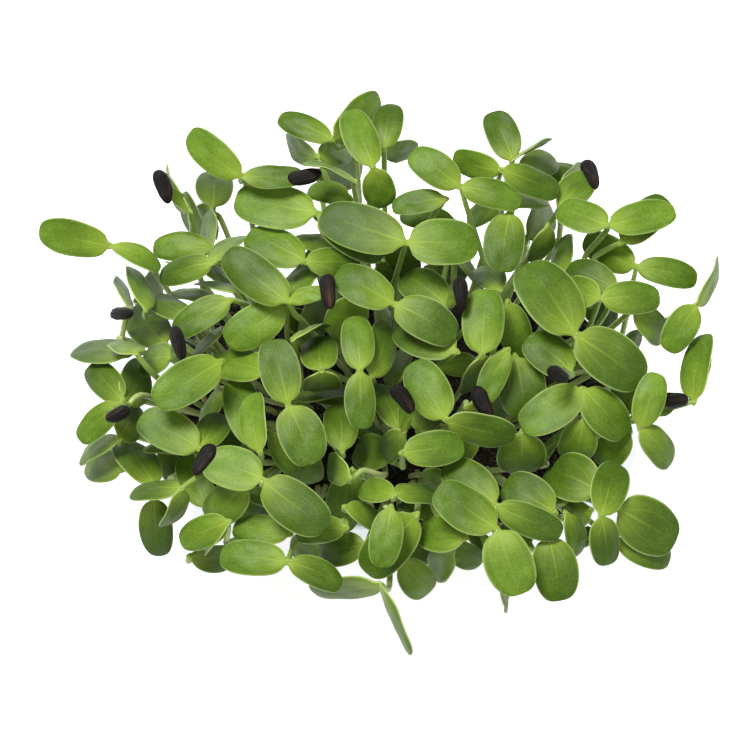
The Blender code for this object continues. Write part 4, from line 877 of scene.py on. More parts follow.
def route_stem(thicket, seedling, hole, offset):
    """Gives a seedling its stem, from the collar in its hole up to its joint."""
    stub, near = own_samples(seedling)
    thicket.stamp(stub, STEM_KEEP, -1)
    for points in near:
        thicket.stamp(points, LEAF_KEEP, -1)
    foot = hole + offset
    start = seedling.joint - UP * STUB_LENGTH
    way = thicket.way_down(start, (foot.x, foot.y, GRID_LOW[2] + CELL / 2))
    if way:
        way = [Vector(point) for point in thicket.pulled_tight(way)]
        if not thicket.free(way[-2], seedling.joint):
            way.append(seedling.joint)
        sunk = hole + offset * SUNK_OFFSET_SHARE
        seedling.stem = [
            Vector((sunk.x, sunk.y, SOIL_TOP - HOLE_DEPTH + COLLAR_HEIGHT / 2)),
            Vector((foot.x, foot.y, SOIL_TOP + FOOT_RISE)),
            *way[1:-1],
            seedling.joint + UP * JOINT_OVERLAP,
        ]
    thicket.stamp(stub, STEM_KEEP, 1)
    for points in near:
        thicket.stamp(points, LEAF_KEEP, 1)
    return bool(way)


def stamp_stems(thicket, group, keep, amount):
    """Marks the stems of a group, or with -1 takes their marks away."""
    for seedling in group:
        thicket.stamp(run_samples(seedling.stem), keep, amount)


def route_stems(groups, places):
    """Routes the stems of every group, each group clear of the leaves and of the others."""
    thicket = Thicket()
    for group in groups:
        for seedling in group:
            for leaf in seedling.leaves:
                thicket.stamp(leaf_samples(leaf), LEAF_KEEP)
            thicket.stamp(run_samples([seedling.joint, seedling.joint - UP * STUB_LENGTH]), STEM_KEEP)
    for group, hole in reversed(list(zip(groups, places))):
        offsets = foot_offsets(group, hole)
        grown = []
        for seedling in group:
            if not route_stem(thicket, seedling, hole, offsets[seedling.name]):
                stamp_stems(thicket, grown, FELLOW_KEEP, -1)
                route_stem(thicket, seedling, hole, offsets[seedling.name])
                stamp_stems(thicket, grown, FELLOW_KEEP, 1)
            grown.append(seedling)
            stamp_stems(thicket, [seedling], FELLOW_KEEP, 1)
        stamp_stems(thicket, group, FELLOW_KEEP, -1)
        stamp_stems(thicket, group, STEM_KEEP, 1)
    return thicket


# Fine seedlings

# Rows along a fine leaf and points round it, then its thickness at the blade and toward its ends.
LEAF_ROWS = 22
LEAF_ROUND = 28
BLADE_HALF = 0.42
ROOT_HALF = 0.8
END_FADE = 9
TIP_HALF_SHARE = 0.12
SECTION_POWER = 0.55

# The outline of a fine leaf: its neck, its rounded root and how full its oval is at each end.
NECK_HALF = 1.7
NECK_OF_WIDTH = 0.34
ROOT_ROUNDING = 2.2
ROOT_POINT = 0.015
BASE_POWER = 0.38
TIP_POWER = 0.33

# Relief of a fine leaf: the groove of its midrib, the waves of its rim and its blisters.
MIDRIB_GROOVE = 0.22
GROOVE_WIDTH = 0.2
RIM_WAVE = 0.3
RIM_WAVES = (7, 11)
RIM_LAG = 1.3
BLISTER = 0.26
BLISTERS_ACROSS = 5
BLISTERS_ALONG = (9, 14)
ANY_PHASE = (0, 6)
SIDE_BEND = 0.7

# A fine stem: rows, sides, how smoothly it bends, its radius at the soil, and how it thins and rounds off.
STEM_ROWS = 20
STEM_SIDES = 8
STEM_EASE = 0.32
FINE_STEM_RADIUS = 1.15
STEM_THINNING = 0.12
TOP_ROUNDING = 0.35
TOP_SPAN = 0.04


class Shape:
    """A mesh in the making: points in millimetres, faces, materials and named point values."""

    VALUES = ("along", "across", "tone", "under")

    def __init__(self):
        self.points = []
        self.faces = []
        self.slots = []
        self.values = {name: [] for name in self.VALUES}
        self.count = 0

    def add_rings(self, rings, slot, **values):
        """Adds a tube through rings of points, closed at both ends."""
        rows, sides = rings.shape[:2]
        faces = []
        for row in range(rows - 1):
            low = row * sides
            high = low + sides
            for step in range(sides):
                after = (step + 1) % sides
                faces.append((low + step, low + after, high + after, high + step))
        faces.append(tuple(reversed(range(sides))))
        faces.append(tuple((rows - 1) * sides + step for step in range(sides)))
        spread = {name: np.broadcast_to(value, (rows, sides)).reshape(-1) for name, value in values.items()}
        self.add_faces(rings.reshape(-1, 3), faces, slot, **spread)

    def add_faces(self, points, faces, slot, **values):
        """Adds loose points and faces."""
        self.points.append(points)
        for name in self.VALUES:
            self.values[name].append(np.broadcast_to(values.get(name, 0), len(points)))
        self.faces += [tuple(self.count + corner for corner in face) for face in faces]
        self.slots += [slot] * len(faces)
        self.count += len(points)

    def object(self, name, materials):
        """The finished object."""
        mesh = bpy.data.meshes.new(name)
        points = np.concatenate(self.points) * MM
        mesh.from_pydata(points.tolist(), [], self.faces)
        for material in materials:
            mesh.materials.append(material)
        mesh.polygons.foreach_set("material_index", self.slots)
        for label, parts in self.values.items():
            layer = mesh.attributes.new(label, "FLOAT", "POINT")
            layer.data.foreach_set("value", np.concatenate(parts).astype(np.float32))
        mesh.shade_smooth()
        obj = bpy.data.objects.new(name, mesh)
        bpy.context.scene.collection.objects.link(obj)
        return obj


def evenly_round(steps):
    """Angles once round, as a row."""
    return np.linspace(0, 2 * math.pi, steps, endpoint=False)[None, :]


def fine_outline(t):
    """Half width of a fine leaf along its length, as a share of its widest."""
    share = np.clip((t - PETIOLE_SHARE) / (1 - PETIOLE_SHARE), 0, 1)
    return (4 * share * (1 - share)) ** (BASE_POWER + (TIP_POWER - BASE_POWER) * share)


def leaf_rings(leaf, draw):
    """Rings round a seed leaf from its root to its tip, with how far along and across each lies."""
    spread = 0.5 - 0.5 * np.cos(np.linspace(0, math.pi, LEAF_ROWS))
    sunk = ROOT_SINK / leaf.length
    t = (spread - sunk * (1 - spread))[:, None]
    turn = evenly_round(LEAF_ROUND)
    v = np.cos(turn)
    upper = np.sin(turn)
    inside = np.clip(t, 0, 1)
    outline = fine_outline(inside)
    rounded = np.sqrt(np.clip((t + sunk) / (ROOT_ROUNDING * sunk), ROOT_POINT, 1))

    neck = min(NECK_HALF, NECK_OF_WIDTH * leaf.width)
    half = np.maximum(leaf.width / 2 * outline, neck * (1 - inside) ** 2) * rounded
    thick = BLADE_HALF + (ROOT_HALF - BLADE_HALF) * np.exp(-inside * END_FADE)
    thick = thick * np.minimum(1, (1 - inside) * END_FADE + TIP_HALF_SHARE) ** 0.5 * rounded
    lift = thick * np.sign(upper) * np.abs(upper) ** SECTION_POWER
    groove = MIDRIB_GROOVE * np.exp(-(v / GROOVE_WIDTH) ** 2) * np.sin(math.pi * inside) * (upper > 0)

    phase = draw.uniform(*ANY_PHASE)
    ripple = np.sin(inside * draw.uniform(*RIM_WAVES) + phase + np.sign(v) * RIM_LAG)
    wave = RIM_WAVE * ripple * np.abs(v) ** 3 * outline
    along_waves = np.sin(inside * draw.uniform(*BLISTERS_ALONG) + 2 * phase)
    blister = BLISTER * np.sin(BLISTERS_ACROSS * v + phase) * along_waves * outline
    arched = 4 * leaf.arch * t * (1 - t) + leaf.cup * (v * outline) ** 2
    rise = arched + lift - groove + wave + blister
    bend = draw.uniform(-SIDE_BEND, SIDE_BEND) * 4 * inside * (1 - inside)

    joint, along, side, face = (np.array(part) for part in (leaf.joint, leaf.along, leaf.side, leaf.face))
    rings = (
        joint
        + along * (leaf.length * t + 0 * v)[..., None]
        + side * (v * half + bend)[..., None]
        + face * rise[..., None]
    )
    down = -1 if leaf.face.z >= 0 else 1
    under = (upper * down > 0) * np.ones_like(t)
    return rings, t, v, under


def smooth_path(path):
    """Points of a smooth curve through the points of a path."""
    points = [np.array(point) for point in path]
    points = [2 * points[0] - points[1], *points, 2 * points[-1] - points[-2]]
    spans = len(points) - 3
    rows = []
    for s in np.linspace(0, spans, STEM_ROWS):
        span = min(int(s), spans - 1)
        f = s - span
        before, here, there, after = points[span:span + 4]
        leaving = (there - before) * STEM_EASE
        arriving = (after - here) * STEM_EASE
        rows.append(
            (2 * f ** 3 - 3 * f ** 2 + 1) * here + (f ** 3 - 2 * f ** 2 + f) * leaving
            + (3 * f ** 2 - 2 * f ** 3) * there + (f ** 3 - f ** 2) * arriving
        )
    return np.array(rows)


def stem_rings(path):
    """Rings round a stem that runs smoothly through the points of its path."""
    rows = smooth_path(path)
    heading = np.gradient(rows, axis=0)
    heading /= np.linalg.norm(heading, axis=1)[:, None]
    first = np.cross(heading, (0.0, 1.0, 0.0))
    first /= np.linalg.norm(first, axis=1)[:, None]
    second = np.cross(heading, first)
    turn = evenly_round(STEM_SIDES)
    share = np.linspace(0, 1, STEM_ROWS)[:, None]
    rounding = TOP_ROUNDING * np.exp(-((share - 1) / TOP_SPAN) ** 2)
    radius = FINE_STEM_RADIUS - STEM_THINNING * share - rounding
    rings = (
        rows[:, None, :]
        + first[:, None, :] * (np.cos(turn) * radius)[..., None]
        + second[:, None, :] * (np.sin(turn) * radius)[..., None]
    )
    return rings, share


def seedlings_shape(group):
    """The fine stems and leaves of some seedlings as one shape."""
    shape = Shape()
    for seedling in group:
        draw = random.Random(seedling.name + "_fine")
        rings, share = stem_rings(seedling.stem)
        shape.add_rings(rings, 1, along=share, tone=draw.random())
        for leaf in seedling.leaves:
            rings, t, v, under = leaf_rings(leaf, draw)
            shape.add_rings(rings, 0, along=t, across=v, tone=draw.random(), under=under)
    return shape


def clump_piece(name, group, materials):
    """The finer seedlings of one planting hole."""
    piece = seedlings_shape(group).object(name + "_fine", materials)
    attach(piece, "root")
    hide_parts(name)


# Low seedlings

# Seedlings low in the gaps, as the photo shows them: level, joint, then tip and width of a leaf.
LOW_SEEDLINGS = {
    "low_01": (2, (350, 199), (308, 190, 26)),
    "low_02": (2, (527, 238), (549, 203, 28)),
    "low_03": (2, (216, 303), (174, 291, 22)),
    "low_04": (2, (299, 334), (328, 306, 24)),
    "low_06": (1, (393, 388), (408, 346, 24)),
    "low_07": (1, (378, 262), (414, 286, 26)),
    "low_09": (2, (640, 412), (614, 382, 24)),
    "low_10": (1, (272, 508), (238, 492, 22)),
    "low_11": (1, (328, 556), (290, 545, 26)),
    "low_12": (1, (434, 522), (400, 504, 22)),
    "low_13": (1, (492, 558), (468, 528, 24)),
    "low_14": (1, (224, 388), (200, 428, 22)),
    "low_16": (1, (214, 352), (178, 336, 20)),
    "low_17": (1, (455, 258), (478, 282, 22)),
    "low_18": (1, (200, 276), (170, 262, 16)),
    "low_19": (1, (560, 188), (582, 172, 18)),
    "low_21": (1, (136, 300), (160, 276, 18)),
    "low_24": (1, (610, 360), (642, 336, 18)),
}
LOW_SLIMNESS = (1, 0.8, 0.62, 0.48)

# Where a leaf of a low seedling shows between the others, by the pixel of its middle.
GAP_PIXELS = (
    (460, 367), (315, 243), (215, 274), (525, 203), (600, 314), (230, 440), (254, 509), (418, 552),
    (462, 553), (330, 396), (367, 432), (364, 518), (203, 462), (272, 425), (488, 408), (400, 256),
    (448, 268), (170, 462), (398, 404), (340, 172), (303, 322), (560, 172), (622, 396), (212, 556),
)
GAP_REACHES = (22, 17, 13)
GAP_LEVEL = 2
GAP_TURNS = 12
GAP_WIDTH_SHARE = 1.15
FEET_TRIED = 40
FEET_REACH = 30


def open_feet(thicket, joint):
    """Places on the growing mix with room for a stem, those most nearly below a joint first."""
    half = inner_half(SOIL_TOP)
    drawn_in = (joint.x * ROOT_SHRINK[0], joint.y * ROOT_SHRINK[1])
    under_joint = Vector(pulled_inside(drawn_in, HOLE_MARGIN))
    feet = []
    for x, y in np.argwhere(thicket.count[:, :, 0] == 0):
        foot = Vector((GRID_LOW[0] + (x + 0.5) * CELL, GRID_LOW[1] + (y + 0.5) * CELL))
        if rounded_distance(foot.x, foot.y, *half) < -HOLE_MARGIN:
            feet.append(foot)
    feet.sort(key=lambda foot: (foot - under_joint).length)
    return [foot for foot in feet[:FEET_TRIED] if (foot - under_joint).length < FEET_REACH]


def rooted(thicket, seedling):
    """Gives a low seedling a stem down to an open place on the growing mix, or says that it can't."""
    start = seedling.joint - UP * STUB_LENGTH
    for foot in open_feet(thicket, seedling.joint):
        way = thicket.way_down(start, (foot.x, foot.y, GRID_LOW[2] + CELL / 2))
        if way:
            seedling.stem = [
                Vector((foot.x, foot.y, SOIL_TOP - COLLAR_HEIGHT)),
                *(Vector(point) for point in thicket.pulled_tight(way)[:-1]),
                start,
                seedling.joint + UP * JOINT_OVERLAP,
            ]
            thicket.stamp(run_samples(seedling.stem), STEM_KEEP)
            for leaf in seedling.leaves:
                thicket.stamp(leaf_samples(leaf), LEAF_KEEP)
            thicket.stamp(run_samples([seedling.joint, start]), STEM_KEEP)
            return True
    return False


def gap_seedling(number, middle, clutter):
    """A seedling whose leaf lies over this pixel, as long as it fits there, or None."""
    for reach in GAP_REACHES:
        for turn in range(GAP_TURNS):
            angle = 2 * math.pi * turn / GAP_TURNS
            aside = Vector((math.cos(angle), math.sin(angle))) * reach
            leaf = (*(Vector(middle) + aside), reach * GAP_WIDTH_SHARE)
            plant = Seedling(f"gap_{number:02d}", GAP_LEVEL, tuple(Vector(middle) - aside), leaf)
            if place_seen(plant, clutter, 1):
                return plant
    return None


def low_seedlings(seedlings, thicket):
    """The seedlings low in the gaps, clear of all the others and of their stems."""
    clutter = Clutter()
    spaces = [leaf_space(plant, side, leaf) for plant in seedlings for side, leaf in enumerate(plant.leaves)]
    spaces += [tube_mesh(plant.stem, STEM_RADIUS + CLEARANCE) for plant in seedlings]
    clutter.add(joined(spaces))
    covered = set()
    for plant in seedlings:
        for leaf in plant.leaves:
            covered |= mask_cells(leaf)
    grown = []
    for name, reading in LOW_SEEDLINGS.items():
        plant = Seedling(name, *reading)
        if any(place_seen(plant, clutter, slimness) for slimness in LOW_SLIMNESS):
            place_partner(plant, clutter, covered)
            grow(plant, thicket, clutter, grown)
    for number, middle in enumerate(GAP_PIXELS):
        plant = gap_seedling(number, middle, clutter)
        if plant:
            grow(plant, thicket, clutter, grown)
    return grown


def grow(plant, thicket, clutter, grown):
    """Adds a placed seedling to those grown, if a stem finds its way down."""
    if rooted(thicket, plant):
        clutter.add(tube_mesh(plant.stem, STEM_RADIUS + CLEARANCE))
        grown.append(plant)


def low_piece(group, materials):
    """The seedlings that stand low in the gaps, as one piece."""
    piece = seedlings_shape(group).object("low_seedlings", materials)
    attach(piece, "root")


# Husks

# A fine husk: rows and points round it, its bow, how blunt its ends are and how it narrows.
HULL_ROWS = 26
HULL_ROUND = 40
HULL_BOW = 0.4
HULL_BLUNT = 3.2
HULL_NARROWING = 0.16
END_ANGLE = 0.02

# Straight ribs by depth and how many round, and twisted ones by depth, how many round and twist.
RIB_DEPTH = 0.04
RIB_COUNT = 9
TWISTED_RIBS = ((0.03, 16, 5), (0.05, 2, 7))

# How husks gape: the two with their halves ajar, then how deep, and where and how far along and round.
OPEN_HULLS = {"hull_07", "hull_09"}
SPLIT_DEPTH = (0.1, 0.5)
SPLIT_ALONG = (0.85, 0.35)
SPLIT_ROUND = (math.radians(70), 0.28)
SPLIT_SHOWN = 2


def hull_piece(name, leaf, ends, material):
    """A husk: blunt at both ends, faintly ribbed, gaping along the edge that clasps the leaf."""
    draw = random.Random(name)
    s = 0.5 - 0.5 * np.cos(np.linspace(END_ANGLE, math.pi - END_ANGLE, HULL_ROWS))[:, None]
    turn = evenly_round(HULL_ROUND)
    x = (2 * s - 1) * np.ones_like(turn)
    girth = (1 - np.abs(x) ** HULL_BLUNT) ** 0.5 * (1 - HULL_NARROWING * x)
    first = draw.uniform(*ANY_PHASE)
    ribs = 1 + RIB_DEPTH * np.cos(RIB_COUNT * turn + first)
    for depth, count, twist in TWISTED_RIBS:
        ribs = ribs + depth * np.sin(count * turn + twist * s + first)
    gape = SPLIT_DEPTH[name in OPEN_HULLS] * np.exp(-((s - SPLIT_ALONG[0]) / SPLIT_ALONG[1]) ** 2)
    gape = gape * np.exp(-((turn - SPLIT_ROUND[0]) / SPLIT_ROUND[1]) ** 2)
    bow = HULL_BOW * draw.choice((-1, 1)) * np.sin(math.pi * s)
    y = girth * np.cos(turn) * (ribs - gape) * HULL_HALF[1] + bow
    z = girth * np.sin(turn) * (ribs - gape) * HULL_HALF[2]
    local = np.stack([x * HULL_HALF[0], y, z, np.ones_like(x)], axis=-1)
    rings = (local @ np.array(hull_frame(leaf, ends)).T)[..., :3]
    split = np.minimum(gape * SPLIT_SHOWN, 1)
    shape = Shape()
    shape.add_rings(rings, 0, along=s, across=turn / (2 * math.pi), tone=draw.random(), under=split)
    piece = shape.object(name + "_fine", [material])
    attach(piece, "root")
    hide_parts(name)


# The tray and the growing mix

# Points round a ring: steps in each corner, then about this many millimetres apart.
FINE_CORNER = 18
RING_STEP = 7
RIGHT_ANGLE = math.radians(90)

# The tray's section: steps of its foot, wall and shoulder, and the shoulder's radius.
FOOT_STEPS = 6
WALL_STEPS = 8
SHOULDER_STEPS = 4
SHOULDER_RADIUS = 1.4
SHOULDER_SHIFT = 0.2
WALL_TOP = 2

# The rim from its flat to its lip, as inset and depth below the top, and the sheet's share of the wall.
RIM_SECTION = ((1.6, 0), (0.9, 0.15), (0.45, 0.6), (0.4, 1.4))
SHEET_SHARE = 0.8


def fine_ring(half_length, half_width, corner, height):
    """Evenly spread points round a rounded rectangle at one height."""
    points = []
    for quarter, (x, y) in enumerate(((1, 1), (-1, 1), (-1, -1), (1, -1))):
        for step in range(FINE_CORNER + 1):
            angle = RIGHT_ANGLE * (quarter + step / FINE_CORNER)
            points.append((
                x * (half_length - corner) + corner * math.cos(angle),
                y * (half_width - corner) + corner * math.sin(angle),
                height,
            ))
    spread = []
    for here, there in zip(points, points[1:] + points[:1]):
        steps = max(1, round(math.dist(here, there) / RING_STEP))
        for step in range(steps):
            share = step / steps
            spread.append(tuple(a + (b - a) * share for a, b in zip(here, there)))
    return np.array(spread)


def wall_inset(height):
    """How far the tray's outer face lies in from its rim at this height."""
    return RIM_REACH + (TRAY_HEIGHT - height) * math.tan(math.radians(TRAY_DRAFT))


def tray_section():
    """The tray's section from its floor's edge up the wall and out over the rim: inset and height."""
    section = []
    foot = wall_inset(0)
    for step in range(FOOT_STEPS + 1):
        angle = RIGHT_ANGLE * step / FOOT_STEPS
        section.append((foot + FLOOR_ROUND * (1 - math.sin(angle)), FLOOR_ROUND * (1 - math.cos(angle))))
    for step in range(1, WALL_STEPS + 1):
        height = FLOOR_ROUND + (TRAY_HEIGHT - WALL_TOP - FLOOR_ROUND) * step / WALL_STEPS
        section.append((wall_inset(height), height))
    top = TRAY_HEIGHT - TRAY_WALL / 2
    for step in range(SHOULDER_STEPS + 1):
        angle = RIGHT_ANGLE * step / SHOULDER_STEPS
        inset = RIM_REACH - SHOULDER_RADIUS * math.sin(angle) + SHOULDER_SHIFT
        section.append((inset, top - SHOULDER_RADIUS * math.cos(angle)))
    section += [(inset, top - depth) for inset, depth in RIM_SECTION]
    return section


def tray_piece(material):
    """The tub as one thin clear shell."""
    shape = bmesh.new()
    loops = []
    for inset, height in tray_section():
        ring = fine_ring(TRAY_LENGTH / 2 - inset, TRAY_WIDTH / 2 - inset, TRAY_CORNER - inset, height)
        loops.append([shape.verts.new(point * MM) for point in ring])
    shape.faces.new(reversed(loops[0]))
    for lower, upper in zip(loops, loops[1:]):
        for step in range(len(lower)):
            after = (step + 1) % len(lower)
            shape.faces.new((lower[step], lower[after], upper[after], upper[step]))
    mesh = bpy.data.meshes.new("tray_shell")
    shape.to_mesh(mesh)
    shape.free()
    mesh.materials.append(material)
    mesh.shade_smooth()
    tray = bpy.data.objects.new("tray_shell", mesh)
    bpy.context.scene.collection.objects.link(tray)
    solid = tray.modifiers.new("wall", "SOLIDIFY")
    solid.thickness = TRAY_WALL * SHEET_SHARE * MM
    solid.offset = -1
    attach(tray, "root")
    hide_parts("tray")


# The mix's surface: rings in from its edge, rows up its side, and lumps by size and height.
SOIL_FINE_RINGS = 40
SOIL_SIDE_ROWS = 10
SOIL_SIDE_GAP = 0.5
SOIL_SIDE_FOOT = 1
SOIL_SIDE_TOP = 3
SOIL_SHOULDER = 2
LUMP_SCALE = 0.35
LUMP_NOISE = (0.7, 2.2, 4)
LUMP_HEIGHT = 0.7
SIDE_LUMP_SCALE = 0.5
SIDE_LUMP = 0.25
SIDE_DIP = 0.12
SIDE_REACH = 90

# Crumbs: how many, their size, how far they keep from the wall and lie above the surface.
CRUMBS = 2200
CRUMB_SIZE = (0.4, 1.1)
CRUMB_SIZE_POWER = 2.5
CRUMB_STRETCH = (0.6, 1.4)
CRUMB_ROUGHNESS = (0.75, 1.2)
CRUMB_TURN = (0, 6.3)
CRUMB_MARGIN = 1.8
CRUMB_RISE = 0.3


def soil_height(x, y):
    """Height of the growing mix's uneven surface."""
    wide = math.sin(x / WIDE_WAVE[0] + 1) * math.cos(y / WIDE_WAVE[1])
    narrow = math.sin(x / NARROW_WAVE[0] - y / NARROW_WAVE[1])
    lumps = noise.fractal(Vector((x, y, 0)) * LUMP_SCALE, *LUMP_NOISE)
    return SOIL_TOP - SOIL_DIP + SOIL_BUMP * (wide + NARROW_SHARE * narrow) + LUMP_HEIGHT * lumps


def soil_piece(material):
    """The growing mix with a crumbly top."""
    floor_half = inner_half(FLOOR_ROUND)
    rings = [fine_ring(*(size - FLOOR_ROUND for size in floor_half), TRAY_WALL + FIT_GAP)]
    for height in np.linspace(FLOOR_ROUND + SOIL_SIDE_FOOT, SOIL_TOP - SOIL_SIDE_TOP, SOIL_SIDE_ROWS):
        rings.append(fine_ring(*(size - SOIL_SIDE_GAP for size in inner_half(height)), height))
    top = fine_ring(*(size - SOIL_SIDE_GAP for size in inner_half(SOIL_TOP - SOIL_SHOULDER)), SOIL_TOP)
    for step in range(SOIL_FINE_RINGS):
        share = 1 - step / SOIL_FINE_RINGS
        ring = top * (share, share, 1)
        ring[:, 2] = [soil_height(x, y) for x, y, z in ring]
        rings.append(ring)
    count = min(len(ring) for ring in rings)
    rings = np.array([ring[:count] for ring in rings])
    for row in rings[1:SOIL_SIDE_ROWS + 1]:
        for point in row:
            push = noise.noise(Vector(point) * SIDE_LUMP_SCALE) * SIDE_LUMP - SIDE_DIP
            point[:2] *= 1 + push / SIDE_REACH
    shape = Shape()
    shape.add_rings(rings, 0)
    crumbs(shape)
    soil = shape.object("growing_mix_fine", [material])
    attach(soil, "root")
    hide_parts("growing_mix")


def crumbs(shape):
    """Scatters crumbs of peat over the top of the growing mix."""
    draw = random.Random("crumbs")
    ball = bmesh.new()
    bmesh.ops.create_icosphere(ball, subdivisions=1, radius=1)
    corners, faces = points_and_faces(ball)
    corners = np.array(corners)
    half = inner_half(SOIL_TOP)
    placed = 0
    while placed < CRUMBS:
        x = draw.uniform(-half[0], half[0])
        y = draw.uniform(-half[1], half[1])
        if rounded_distance(x, y, *half) > -CRUMB_MARGIN:
            continue
        size = CRUMB_SIZE[0] + CRUMB_SIZE[1] * draw.random() ** CRUMB_SIZE_POWER
        stretch = np.array([draw.uniform(*CRUMB_STRETCH) for axis in range(3)]) * size
        rough = corners * stretch * np.array([[draw.uniform(*CRUMB_ROUGHNESS)] for corner in corners])
        turn = np.array(Matrix.Rotation(draw.uniform(*CRUMB_TURN), 3, "Z"))
        place = (x, y, soil_height(x, y) + size * CRUMB_RISE)
        shape.add_faces(rough @ turn.T + place, faces, 0, tone=draw.random())
        placed += 1


# Materials

class Amount:
    """What a node gives: a colour, a direction, a shader, or an amount that takes part in sums."""

    def __init__(self, tree, output):
        self.tree = tree
        self.output = output

    def sum(self, operation, *parts):
        """The amount that one operation makes of this one and others."""
        node = self.tree.add("ShaderNodeMath", dict(enumerate((self, *parts))), operation=operation)
        return Amount(self.tree, node.outputs[0])

    def __add__(self, other):
        return self.sum("ADD", other)

    def __sub__(self, other):
        return self.sum("SUBTRACT", other)

    def __rsub__(self, other):
        return self * -1 + other

    def __mul__(self, other):
        return self.sum("MULTIPLY", other)

    def __truediv__(self, other):
        return self.sum("DIVIDE", other)

    def __pow__(self, other):
        return self.sum("POWER", other)

    def __abs__(self):
        return self.sum("ABSOLUTE")

    def at_least(self, least):
        """This amount, or the least where it is smaller."""
        return self.sum("MAXIMUM", least)

    def at_most(self, most):
        """This amount, or the most where it is larger."""
        return self.sum("MINIMUM", most)


class Surface:
    """A material in the making, or any other tree of nodes."""

    def __init__(self, owner):
        owner.use_nodes = True
        self.owner = owner
        self.nodes = owner.node_tree.nodes
        self.links = owner.node_tree.links

    def feed(self, node, inputs):
        """Sets a node's inputs: numbers and colours as they are, amounts by a link."""
        for place, part in inputs.items():
            if isinstance(part, Amount):
                self.links.new(part.output, node.inputs[place])
            elif isinstance(part, tuple) and node.inputs[place].type == "RGBA":
                node.inputs[place].default_value = (*part, 1)
            else:
                node.inputs[place].default_value = part

    def add(self, kind, inputs=(), **settings):
        """A new node with its settings and inputs."""
        node = self.nodes.new(kind)
        for name, value in settings.items():
            setattr(node, name, value)
        self.feed(node, dict(inputs))
        return node

    def shade(self, **inputs):
        """Sets inputs of the material's main shader, by their titles with underscores for spaces."""
        titled = {name.replace("_", " "): part for name, part in inputs.items()}
        self.feed(self.nodes["Principled BSDF"], titled)

    def value(self, name):
        """A named point value."""
        return Amount(self, self.add("ShaderNodeAttribute", attribute_name=name).outputs["Fac"])

    def mix(self, share, first, second):
        """A mix of two colours."""
        node = self.add("ShaderNodeMix", data_type="RGBA")
        self.feed(node, {0: share, 6: first, 7: second})
        return Amount(self, node.outputs[2])

    def ramp(self, share, stops):
        """A colour for each amount; stops are (place, colour)."""
        node = self.add("ShaderNodeValToRGB", {0: share})
        elements = node.color_ramp.elements
        while len(elements) < len(stops):
            elements.new(0.5)
        for element, (place, colour) in zip(elements, stops):
            element.position = place
            element.color = (*colour, 1)
        return Amount(self, node.outputs[0])

    def place(self):
        """The place in the object's own space."""
        return Amount(self, self.add("ShaderNodeTexCoord").outputs["Object"])

    def grain(self, scale, detail, place=None):
        """Noise in cells a metre over the object's own space, or over another place."""
        inputs = {"Scale": scale, "Detail": detail, "Vector": place or self.place()}
        return Amount(self, self.add("ShaderNodeTexNoise", inputs).outputs["Fac"])

    def bump(self, height, strength, distance):
        """Gives the main shader a bump from a height."""
        node = self.add("ShaderNodeBump", {"Strength": strength, "Distance": distance, "Height": height})
        self.shade(Normal=Amount(self, node.outputs[0]))

    def blend(self, share, first, second):
        """Makes the surface a mix of two shaders."""
        node = self.add("ShaderNodeMixShader", {0: share, 1: first, 2: second})
        self.links.new(node.outputs[0], self.nodes["Material Output"].inputs["Surface"])


def new_surface(name):
    """A new material's surface."""
    return Surface(bpy.data.materials.new(name))


# Greens of a leaf: by tone, then at its root, a painted highlight at its rim, painted shade inside its rim,
# underneath, and painted shade low in the canopy.
LEAF_GREENS = (
    (0.0, (0.052, 0.108, 0.003)),
    (0.35, (0.09, 0.176, 0.007)),
    (0.7, (0.143, 0.262, 0.016)),
    (1.0, (0.215, 0.35, 0.032)),
)
ROOT_GREEN = (0.37, 0.51, 0.055)
RIM_HIGHLIGHT_GREEN = (0.5, 0.64, 0.2)
INNER_SHADE_GREEN = (0.045, 0.11, 0.006)
UNDER_GREEN = (0.19, 0.3, 0.08)
PAINTED_SHADE_GREEN = (0.012, 0.03, 0.002)
GLOW_GREEN = (0.4, 0.62, 0.03)

# How much a leaf's shade varies in patches and speckles, and from leaf to leaf.
PATCH_GRAIN = (110, 5)
SPECKLE_GRAIN = (1500, 3)
SPECKLE_SHARE = 0.9
PATCH_CONTRAST = 1.2
TONE_CONTRAST = 0.7
SHADE_SHIFT = 0.52

# Midrib, side veins, paler root, painted rim highlight, painted shade inside the rim and paler underside of
# a leaf, as shares of its half width or its length.
VEIN_FADE = 1.6
ROOT_PALE_FADE = 3.6
RIB_WIDTH = 0.09
RIB_NARROWING = 0.06
VEIN_ARC = 0.5
VEIN_TURN = 2.7
VEIN_WIDTH = 0.05
RIB_SHARE = 0.6
VEIN_SHARE = 0.3
ROOT_SHARE = 0.85
PALE_MOST = 0.9
RIM_HIGHLIGHT_WIDTH = 0.075
RIM_HIGHLIGHT_MOST = 0.8
INNER_SHADE_PLACE = 0.8
INNER_SHADE_WIDTH = 0.12
INNER_SHADE_SHARE = 0.3
UNDER_SHARE = 0.45

# Painted shade: leaves darken toward the floor.
LOW_SHADE_PER_METRE = 14
LOW_SHADE_AT_FLOOR = 1.32

# Relief of a leaf's skin, and the light that it lets through.
CELL_GRAIN = (2600, 2)
CELL_RELIEF = 0.35
FOLD_GRAIN = (420, 2)
FOLD_RELIEF = 0.5
VEIN_RELIEF = 0.8
LEAF_BUMP = (0.6, 0.0003)
GLOW_GREEN_SHARE = 0.5
GLOW_SHARE = 0.14


